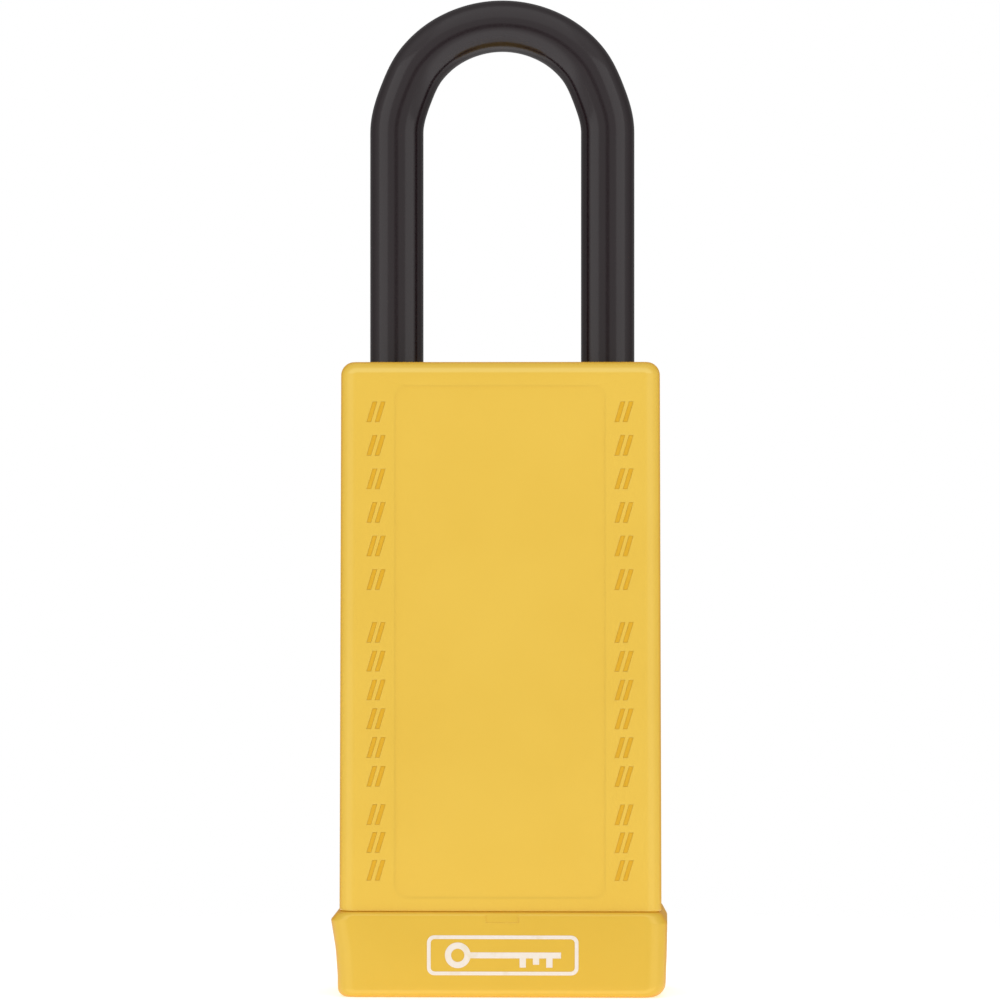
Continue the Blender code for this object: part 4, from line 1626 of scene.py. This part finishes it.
@dataclass
class Cylinder(SubAssembly):
    """The brass plug, its housing, pins and springs."""

    plug_radius: float = 4.7
    tail_radius: float = 3.5
    groove_radius: float = 2.9
    barrel_top: float = 29.0
    groove_z: Point = (30.2, 31.2)
    tail_top: float = 32.6
    face_z: float = 2.9
    dish_radius: float = 3.9
    dish_depth: float = 0.12
    keyway_top: float = 27.6
    keyway: tuple[Corner, ...] = (
        (-0.55, 2.9, 0.15), (-0.55, 1.2, 0.1), (-1.1, 0.9, 0.1), (-1.1, -1.2, 0.1),
        (-0.55, -1.5, 0.1), (-0.55, -3.9, 0.3), (0.55, -3.9, 0.1), (1.1, -3.6, 0.1),
        (1.1, -2.0, 0.1), (0.55, -1.7, 0.1), (0.55, 2.9, 0.15))
    pins: int = 6
    pin_first_z: float = 6.8
    pin_pitch: float = 3.8
    chamber_radius: float = 1.5
    chamber_floor: float = -0.2
    slot_half: float = 1.2
    slot_depth: float = 2.5
    housing_radius: float = 6.6
    housing_top: float = 30.0
    bore: float = 4.95
    block_half_y: float = 3.4
    block_end_x: float = 15.0
    strip_x: float = 13.9
    strip_half_y: float = 2.1
    strip_z: Point = (4.5, 28.1)
    screw_x: float = 12.85
    screw_tip_z: float = 28.9
    chamber_steps: int = 40
    bore_rim: float = 0.15
    plug_edge: float = 0.2
    dish_slope: float = 0.15
    clip_gap: float = math.radians(35.0)
    clip_fit: float = 0.15
    clip_edge: float = 0.06
    clip_steps: tuple[int, int] = (48, 40)
    housing_edge: float = 0.25
    arm_corner: Rounding = Rounding(0.5, 4)
    strip_corner: Rounding = Rounding(0.15, 2)
    strip_edge: Rounding = Rounding(0.1, 2)
    screw_tip: float = 1.2
    screw_tip_edge: float = 0.1
    screw_shoulder_z: float = 30.7
    screw_edge: float = 0.3
    thread_depth: float = 0.18
    threads: int = 16
    turned_steps: int = 48
    key_pin_point: tuple[Point, ...] = ((0.0, 0.0), (0.35, 0.03), (0.45, 0.1))
    key_pin_cone: float = 0.8
    key_pin_edge: Point = (0.06, 0.2)
    driver_edge: float = 0.3
    driver_waist: float = 0.25
    driver_waist_ends: tuple[float, float, float, float] = (0.9, 1.1, 1.3, 1.1)
    spring: Coil = Coil(4.0, 0.95, 0.17, 28)

    def heights(self) -> list[float]:
        """Height of each pin's middle line."""
        return [self.pin_first_z + self.pin_pitch * index for index in range(self.pins)]

    def build(self) -> None:
        """Make and dress the cylinder's pieces."""
        self.build_plug()
        self.build_housing()
        self.build_screw()
        self.build_pins()
        self.build_springs()

    def build_plug(self) -> None:
        """Make and dress the plug with its keyway, chambers and drive slot."""
        low_groove, high_groove = self.groove_z
        face, edge = self.face_z, self.plug_edge
        plug = lathe("plug_barrel", [
            (0.0, face + self.dish_depth),
            (self.dish_radius - self.dish_slope, face + self.dish_depth),
            (self.dish_radius, face), (self.plug_radius - edge, face),
            (self.plug_radius, face + edge), (self.plug_radius, self.barrel_top - edge),
            (self.plug_radius - edge, self.barrel_top), (self.tail_radius, self.barrel_top),
            (self.tail_radius, low_groove), (self.groove_radius, low_groove),
            (self.groove_radius, high_groove), (self.tail_radius, high_groove),
            (self.tail_radius, self.tail_top - edge), (self.tail_radius - edge, self.tail_top),
            (0.0, self.tail_top)])
        cutters = [plate("keyway", fillet(self.keyway, steps=4), face - THROUGH, self.keyway_top)]
        for height in self.heights():
            cutters.append(drill("plug_chamber", self.chamber_radius,
                                 (0.0, self.chamber_floor, height),
                                 (0.0, self.plug_radius, height), steps=self.chamber_steps))
        reach = self.tail_radius + THROUGH
        cutters.append(block("tail_slot",
                             (-reach, -self.slot_half, self.tail_top - self.slot_depth),
                             (reach, self.slot_half, self.tail_top + THROUGH)))
        boolean(plug, cutters)
        self.wardrobe.settle(plug, Body.PLUG, Slot.BRASS, ["plug"])

        low, high = box_mm("plug_clip")
        start, end = self.clip_gap - QUARTER_TURN, 3.0 * QUARTER_TURN - self.clip_gap
        outer_steps, inner_steps = self.clip_steps
        outline = arc((0.0, 0.0), high.x, start, end, outer_steps)
        outline += arc((0.0, 0.0), self.groove_radius + self.clip_fit, end, start, inner_steps)
        clip = plate("retaining_clip", outline, low.z, high.z, self.clip_edge)
        self.wardrobe.settle(clip, Body.PLUG, Slot.SPRING_STEEL, ["plug_clip"])

    def build_housing(self) -> None:
        """Make and dress the housing and the strip that closes its chambers."""
        face, edge = self.face_z, self.housing_edge
        housing = lathe("housing_shell", [
            (0.0, face), (self.housing_radius - edge, face), (self.housing_radius, face + edge),
            (self.housing_radius, self.housing_top - edge),
            (self.housing_radius - edge, self.housing_top), (0.0, self.housing_top)])
        arm = block("pin_arm", (0.0, -self.block_half_y, face),
                    (self.block_end_x, self.block_half_y, self.housing_top), self.arm_corner)
        boolean(housing, [arm], Operation.JOIN)
        cutters = [drill("plug_bore", self.bore, (0.0, 0.0, self.housing_top + THROUGH),
                         (0.0, 0.0, face), self.bore_rim, FULL_CIRCLE_STEPS)]
        for height in self.heights():
            cutters.append(drill("driver_chamber", self.chamber_radius,
                                 (self.bore - 2.0 * THROUGH, 0.0, height),
                                 (self.strip_x, 0.0, height), steps=self.chamber_steps))
        strip_low, strip_high = self.strip_z
        cutters.append(block("strip_groove", (self.strip_x, -self.strip_half_y, strip_low),
                             (self.block_end_x + THROUGH, self.strip_half_y, strip_high)))
        cutters.append(drill("screw_dimple", self.chamber_radius,
                             (self.screw_x, 0.0, self.screw_tip_z),
                             (self.screw_x, 0.0, self.housing_top), steps=self.chamber_steps))
        boolean(housing, cutters)
        self.wardrobe.settle(housing, Body.LOCK, Slot.BRASS, ["cylinder_housing"])

        low, high = box_mm("chamber_cover")
        strip = block("chamber_strip", low, high, self.strip_corner, self.strip_edge,
                      self.strip_edge)
        self.wardrobe.settle(strip, Body.LOCK, Slot.BRASS, ["chamber_cover"])

    def build_screw(self) -> None:
        """Make and dress the threaded grub screw."""
        low, high = box_mm("housing_screw")
        radius = (high.y - low.y) / 2.0
        root = radius - self.thread_depth
        tip, edge, shoulder = self.screw_tip, self.screw_tip_edge, self.screw_shoulder_z
        profile = [(0.0, low.z), (tip - edge, low.z), (tip, low.z + edge), (tip, shoulder)]
        start, end = shoulder + self.screw_edge, high.z - self.screw_edge
        pitch = (end - start) / self.threads
        for turn in range(self.threads):
            base = start + pitch * turn
            profile += [(root, base), (radius, base + pitch / 2.0)]
        profile += [(root, end), (radius - self.screw_edge, high.z), (0.0, high.z)]
        screw = turn_to(lathe("grub_screw", profile, steps=self.turned_steps), AXIS_Z,
                        Vector((self.screw_x, 0.0, 0.0)))
        boolean(screw, [drill("hex_socket", tip, (self.screw_x, 0.0, high.z - radius),
                              (self.screw_x, 0.0, high.z), steps=6)])
        self.wardrobe.settle(screw, Body.LOCK, Slot.HARD_STEEL, ["housing_screw"])

    def build_pins(self) -> None:
        """Make and dress the key pins and the driver pins."""
        near, wide = self.key_pin_edge
        edge, waist = self.driver_edge, self.driver_waist
        low_full, low_thin, high_thin, high_full = self.driver_waist_ends
        for number in range(1, self.pins + 1):
            low, high = box_mm(f"key_pin_{number}")
            radius, length = (high.z - low.z) / 2.0, high.y - low.y
            foot = Vector((0.0, low.y, (low.z + high.z) / 2.0))
            key_pin = lathe(f"key_pin_fine_{number}", [
                *self.key_pin_point, (radius, self.key_pin_cone), (radius, length - wide),
                (radius - near, length - near), (radius - wide, length), (0.0, length)],
                steps=self.turned_steps)
            self.wardrobe.settle(turn_to(key_pin, AXIS_Y, foot), f"key_pin_body_{number}",
                                 Slot.BRASS, [f"key_pin_{number}"])

            low, high = box_mm(f"driver_pin_{number}")
            radius, length = (high.z - low.z) / 2.0, high.x - low.x
            foot = Vector((low.x, 0.0, (low.z + high.z) / 2.0))
            driver = lathe(f"driver_pin_fine_{number}", [
                (0.0, 0.0), (radius - edge, 0.0), (radius, edge), (radius, low_full),
                (radius - waist, low_thin), (radius - waist, length - high_thin),
                (radius, length - high_full), (radius, length - edge), (radius - edge, length),
                (0.0, length)], steps=self.turned_steps)
            self.wardrobe.settle(turn_to(driver, AXIS_X, foot), f"driver_pin_body_{number}",
                                 Slot.NICKEL, [f"driver_pin_{number}"])

    def build_springs(self) -> None:
        """Grow and dress a spring behind each driver pin."""
        tree = coil_tree()
        wire = self.wardrobe.material(Slot.SPRING_STEEL)
        for number in range(1, self.pins + 1):
            low, high = box_mm(f"pin_spring_{number}")
            length = high.x - low.x
            foot = Vector((low.x, 0.0, (low.z + high.z) / 2.0))
            coil = self.spring.wind(f"pin_coil_{number}", tree, foot, AXIS_X, length, wire)
            self.wardrobe.settle(coil, Body.LOCK, Slot.SPRING_STEEL, [f"pin_spring_{number}"],
                                 ROUND_ANGLE)
            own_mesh(coil)


@dataclass
class LockParts(SubAssembly):
    """The lock body and the balls, cam, shaft and spacer inside it."""

    corner: Rounding = Rounding(1.5, 8)
    edge: Rounding = Rounding(0.3, 3)
    leg_x: float = 12.85
    leg_bore: float = 2.7
    heel_bore_z: float = 25.7
    toe_bore_z: float = 62.8
    sheath_bore: float = 3.5
    sheath_bore_z: float = 72.4
    screw_bore: float = 2.2
    ball_channel: float = 3.4
    ball_z: float = 68.0
    cam_bore: float = 5.5
    cam_bore_top: float = 72.4
    cylinder_bore: float = 6.9
    cylinder_top: float = 30.3
    pin_slot: Point = (15.3, 3.7)
    shaft_z: Point = (32.9, 63.7)
    blade_half: Point = (2.25, 1.0)
    blade_reach: float = 2.5
    spacer_bore: float = 2.8
    spacer_step: Point = (3.8, 32.9)
    ball_open_x: Point = (7.0, 7.5)
    ball_locked_x: float = 8.45
    cam_largest: float = 5.15
    cam_gap: float = 0.1
    cam_sides: int = 144
    cam_slot: Point = (1.2, 2.5)
    cam_turn_steps: int = 30
    bore_rim: float = 0.3
    leg_bore_overlap: float = 0.1
    shaft_edge: float = 0.2
    shaft_steps: int = 64
    blade_overlap: float = 1.0
    blade_corner: Rounding = Rounding(0.15, 2)
    spacer_steps: int = 80
    spring: Coil = Coil(8.0, 1.85, 0.35, 32)

    def build(self) -> None:
        """Make and dress the lock's parts."""
        self.build_body()
        for side, body in (("right", Body.RIGHT_BALL), ("left", Body.LEFT_BALL)):
            low, high = box_mm(f"ball_{side}")
            made = ball(f"locking_ball_{side}", (high.z - low.z) / 2.0, (low + high) * 0.5)
            self.wardrobe.settle(made, body, Slot.HARD_STEEL, [f"ball_{side}"], BALL_ANGLE)
        self.build_cam()
        self.build_shaft()
        self.build_spring()

    def cam_reach(self, angle: float, clear: float) -> float:
        """How far the cam may reach at one angle.

        Args:
            angle: the angle round the cam, in radians.
            clear: the ball's radius and the gap kept from it.

        Returns:
            The largest radius that clears both balls through the quarter turn.
        """
        reach = self.cam_largest
        steps = self.cam_turn_steps
        for side, open_x in zip((0.0, math.pi), self.ball_open_x):
            for step in range(-steps, steps + 1):
                share = step / steps
                distance = open_x + (self.ball_locked_x - open_x) * abs(share)
                offset = angle - side - share * QUARTER_TURN
                aside = distance * math.sin(offset)
                if math.cos(offset) > 0.0 and abs(aside) < clear:
                    near = distance * math.cos(offset) - math.sqrt(clear ** 2 - aside ** 2)
                    reach = min(reach, near)
        return reach

    def build_cam(self) -> None:
        """Make and dress the cam between the balls."""
        low, high = box_mm("locking_cam")
        ball_low, ball_high = box_mm("ball_right")
        clear = (ball_high.z - ball_low.z) / 2.0 + self.cam_gap
        outline = []
        for side in range(self.cam_sides):
            angle = math.tau * side / self.cam_sides
            reach = self.cam_reach(angle, clear)
            outline.append((reach * math.cos(angle), reach * math.sin(angle)))
        cam = plate("cam_disc", outline, low.z, high.z)
        half, depth = self.cam_slot
        reach = self.cam_largest + THROUGH
        boolean(cam, [block("cam_slot", (-reach, -half, low.z - THROUGH),
                            (reach, half, low.z + depth))])
        self.wardrobe.settle(cam, Body.CAM, Slot.HARD_STEEL, ["locking_cam"])

    def build_spring(self) -> None:
        """Grow and dress the spring under the shackle's long leg."""
        low, high = box_mm("shackle_spring")
        foot = Vector((-self.leg_x, 0.0, low.z))
        coil = self.spring.wind("shackle_coil", coil_tree(), foot, AXIS_Z, high.z - low.z,
                                self.wardrobe.material(Slot.SPRING_STEEL))
        self.wardrobe.dress(coil, Slot.SPRING_STEEL, ["shackle_spring"], ROUND_ANGLE)
        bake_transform(coil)
        LOG.info("%s stretches from the lock to the shackle", coil.name)

    def build_body(self) -> None:
        """Make and dress the block that holds the lock's parts."""
        low, high = box_mm("lock_body")
        core = block("body_core", low, high, self.corner, self.edge, self.edge)
        cutters = []
        for side, bottom in ((-1.0, self.heel_bore_z), (1.0, self.toe_bore_z)):
            x = side * self.leg_x
            cutters.append(drill("leg_bore", self.leg_bore, (x, 0.0, bottom),
                                 (x, 0.0, self.sheath_bore_z + self.leg_bore_overlap)))
            cutters.append(drill("sheath_bore", self.sheath_bore, (x, 0.0, self.sheath_bore_z),
                                 (x, 0.0, high.z), self.bore_rim))
        cutters += [
            drill("screw_bore", self.screw_bore, (self.leg_x, 0.0, self.cylinder_top - THROUGH),
                  (self.leg_x, 0.0, self.toe_bore_z)),
            drill("ball_channel", self.ball_channel, (-self.leg_x, 0.0, self.ball_z),
                  (self.leg_x - THROUGH, 0.0, self.ball_z)),
            drill("cam_bore", self.cam_bore, (0.0, 0.0, self.cam_bore_top),
                  (0.0, 0.0, self.cylinder_top)),
            drill("cylinder_bore", self.cylinder_bore, (0.0, 0.0, self.cylinder_top),
                  (0.0, 0.0, low.z), self.bore_rim),
            block("pin_slot", (0.0, -self.pin_slot[1], low.z - THROUGH),
                  (self.pin_slot[0], self.pin_slot[1], self.cylinder_top)),
        ]
        boolean(core, cutters)
        self.wardrobe.settle(core, Body.LOCK, Slot.ALUMINIUM, ["lock_body"])

    def build_shaft(self) -> None:
        """Make and dress the drive shaft and the spacer round it."""
        low_z, high_z = self.shaft_z
        low, high = box_mm("drive_shaft")
        radius, edge = (high.y - low.y) / 2.0, self.shaft_edge
        shaft = lathe("drive_rod", [
            (0.0, low_z), (radius - edge, low_z), (radius, low_z + edge), (radius, high_z - edge),
            (radius - edge, high_z), (0.0, high_z)], steps=self.shaft_steps)
        half_x, half_y = self.blade_half
        blades = [block("blade", (-half_x, -half_y, bottom), (half_x, half_y, top),
                        self.blade_corner)
                  for bottom, top in ((low_z - self.blade_reach, low_z + self.blade_overlap),
                                      (high_z - self.blade_overlap, high_z + self.blade_reach))]
        boolean(shaft, blades, Operation.JOIN)
        self.wardrobe.settle(shaft, Body.CAM, Slot.HARD_STEEL, ["drive_shaft"])

        low, high = box_mm("spacer_tube")
        step_radius, step_z = self.spacer_step
        spacer = lathe("spacer_sleeve", [
            (high.x - edge, high.z), (high.x, high.z - edge), (high.x, low.z + edge),
            (high.x - edge, low.z), (step_radius, low.z), (step_radius, step_z),
            (self.spacer_bore, step_z), (self.spacer_bore, high.z)], closed=True,
            steps=self.spacer_steps)
        self.wardrobe.settle(spacer, Body.LOCK, Slot.ALUMINIUM, ["spacer_tube"])


# ---------------------------------------------------------------------------- studio


@dataclass(frozen=True)
class Softbox:
    """One square area light: where it stands, its size, its power and whether it is mirrored."""

    name: str
    place: tuple[float, float, float]
    size: float
    power: float
    mirrored: bool = True


@dataclass
class Studio:
    """Floor, soft lights, pale surroundings and the camera."""

    camera_distance: float = 0.7
    camera_height: float = 0.0598
    camera_azimuth: float = 1.6
    camera_aside: float = -0.00027
    lens: float = 206.8
    sensor: float = 36.0
    clip: Point = (0.01, 50.0)
    aim_height: float = 0.060
    surround: float = 0.728
    behind: float = 0.28
    above: float = 1.2
    below: float = 1.8
    behind_over: Point = (-0.6, 0.3)
    above_over: Point = (0.3, 0.9)
    below_over: Point = (-0.5, -0.15)
    spot: float = 0.25
    spot_edge: float = 0.978
    spot_core: float = 0.999
    floor_radius: float = 1.5
    floor_roughness: float = 0.9
    floor_gloss: float = 0.1
    floor_colours: tuple[Colour, Colour] = ((0.90, 0.90, 0.90, 1.0), (0.92, 0.92, 0.92, 1.0))
    floor_speckle: float = 30.0
    floor_glow: float = 0.46
    floor_solid: float = 0.03
    floor_gone: float = 0.14
    softboxes: tuple[Softbox, ...] = (
        Softbox("left_box", (-0.75, -0.45, 0.30), 0.7, 0.8),
        Softbox("right_box", (0.75, -0.45, 0.30), 0.7, 0.8),
        Softbox("top_box", (0.0, -0.35, 0.9), 1.0, 0.6),
        Softbox("back_box", (0.0, 0.8, 0.55), 1.0, 5.0, mirrored=False),
    )

    def build(self) -> None:
        """Set the whole studio up."""
        bpy.context.scene.view_settings.view_transform = "Standard"
        self.build_world()
        self.build_floor()
        for softbox in self.softboxes:
            light = bpy.data.lights.new(softbox.name, "AREA")
            light.size = softbox.size
            light.energy = softbox.power
            lamp = bpy.data.objects.new(softbox.name, light)
            bpy.context.scene.collection.objects.link(lamp)
            lamp.location = softbox.place
            aim = Vector((0.0, 0.0, self.aim_height)) - lamp.location
            lamp.rotation_euler = aim.to_track_quat("-Z", "Y").to_euler()
            lamp.visible_glossy = softbox.mirrored
        self.build_camera()

    def build_world(self) -> None:
        """White surroundings with a dark spot where the camera stands.

        They are seen as plain white, and light the object a little less.
        """
        world = bpy.data.worlds.new("studio")
        bpy.context.scene.world = world
        world.use_nodes = True
        tree = Tree(world.node_tree)
        background = world.node_tree.nodes["Background"]
        background.inputs["Color"].default_value = WHITE
        seen = tree.add("ShaderNodeLightPath").outputs["Is Camera Ray"]
        direction = tree.add("ShaderNodeTexCoord").outputs["Generated"]
        facing = tree.vector("DOT_PRODUCT", direction, -AXIS_Y).outputs["Value"]
        rise = tree.add("ShaderNodeSeparateXYZ", Vector=direction).outputs["Z"]
        lit = tree.ramp(facing, self.spot_edge, self.spot_core, self.surround, self.spot)
        for share in (tree.ramp(facing, *self.behind_over, self.behind, 1.0),
                      tree.ramp(rise, *self.above_over, 1.0, self.above),
                      tree.ramp(rise, *self.below_over, self.below, 1.0)):
            lit = tree.math("MULTIPLY", lit, share)
        strength = tree.add("ShaderNodeMapRange")
        for name, given in (("Value", seen), ("To Min", lit), ("To Max", 1.0)):
            tree.feed(strength, name, given)
        tree.feed(background, "Strength", strength.outputs[0])

    def build_floor(self) -> None:
        """A pale floor that fades into the surroundings."""
        shape = bmesh.new()
        bmesh.ops.create_circle(shape, cap_ends=True, segments=FULL_CIRCLE_STEPS,
                                radius=self.floor_radius)
        ground = object_of("studio_floor", shape)
        material, tree, shader, place = start_material("pale_floor")
        tree.feed(shader, "Roughness", self.floor_roughness)
        tree.feed(shader, "Specular IOR Level", self.floor_gloss)
        tree.feed(shader, "Emission Color", WHITE)
        tree.feed(shader, "Emission Strength", self.floor_glow)
        spots = tree.ramp(tree.noise(place, self.floor_speckle, 4.0), *MIDDLE)
        tree.feed(shader, "Base Color", tree.mix(spots, *self.floor_colours))
        clear = tree.add("ShaderNodeBsdfTransparent")
        reach = tree.vector("LENGTH", place).outputs["Value"]
        far = tree.ramp(reach, self.floor_solid, self.floor_gone)
        below = tree.add("ShaderNodeNewGeometry").outputs["Backfacing"]
        blend = tree.add("ShaderNodeMixShader")
        tree.feed(blend, 0, tree.math("MAXIMUM", far, below))
        tree.feed(blend, 1, shader.outputs[0])
        tree.feed(blend, 2, clear.outputs[0])
        output = material.node_tree.nodes["Material Output"]
        tree.feed(output, "Surface", blend.outputs[0])
        ground.data.materials.append(material)

    def build_camera(self) -> None:
        """A long lens at the height of the padlock's middle."""
        data = bpy.data.cameras.new("studio_camera")
        data.lens = self.lens
        data.sensor_width = self.sensor
        data.clip_start, data.clip_end = self.clip
        camera = bpy.data.objects.new("studio_camera", data)
        bpy.context.scene.collection.objects.link(camera)
        angle = math.radians(self.camera_azimuth)
        distance = self.camera_distance
        aside = self.camera_aside
        camera.location = (distance * math.sin(angle) + aside * math.cos(angle),
                           aside * math.sin(angle) - distance * math.cos(angle),
                           self.camera_height)
        camera.rotation_euler = (QUARTER_TURN, 0.0, angle)
        bpy.context.scene.camera = camera


def dress_cad_nodes(wardrobe: Wardrobe) -> None:
    """Give every CAD node the finish of its slot.

    Args:
        wardrobe: holds the finishes.
    """
    slots = {part["node"]: part["material_slot"] for part in frame["record"]["subparts"]}
    for name, node in frame["nodes"].items():
        node.data.materials.clear()
        node.data.materials.append(wardrobe.material(Slot(slots[name])))


def main() -> None:
    """Build every sub-assembly in order."""
    wardrobe = Wardrobe(Skins.build())
    dress_cad_nodes(wardrobe)
    for kind in (Cover, BaseCap, Shackle, Cylinder, LockParts):
        kind(wardrobe).build()
    Studio().build()


if __name__ == "__main__":
    main()
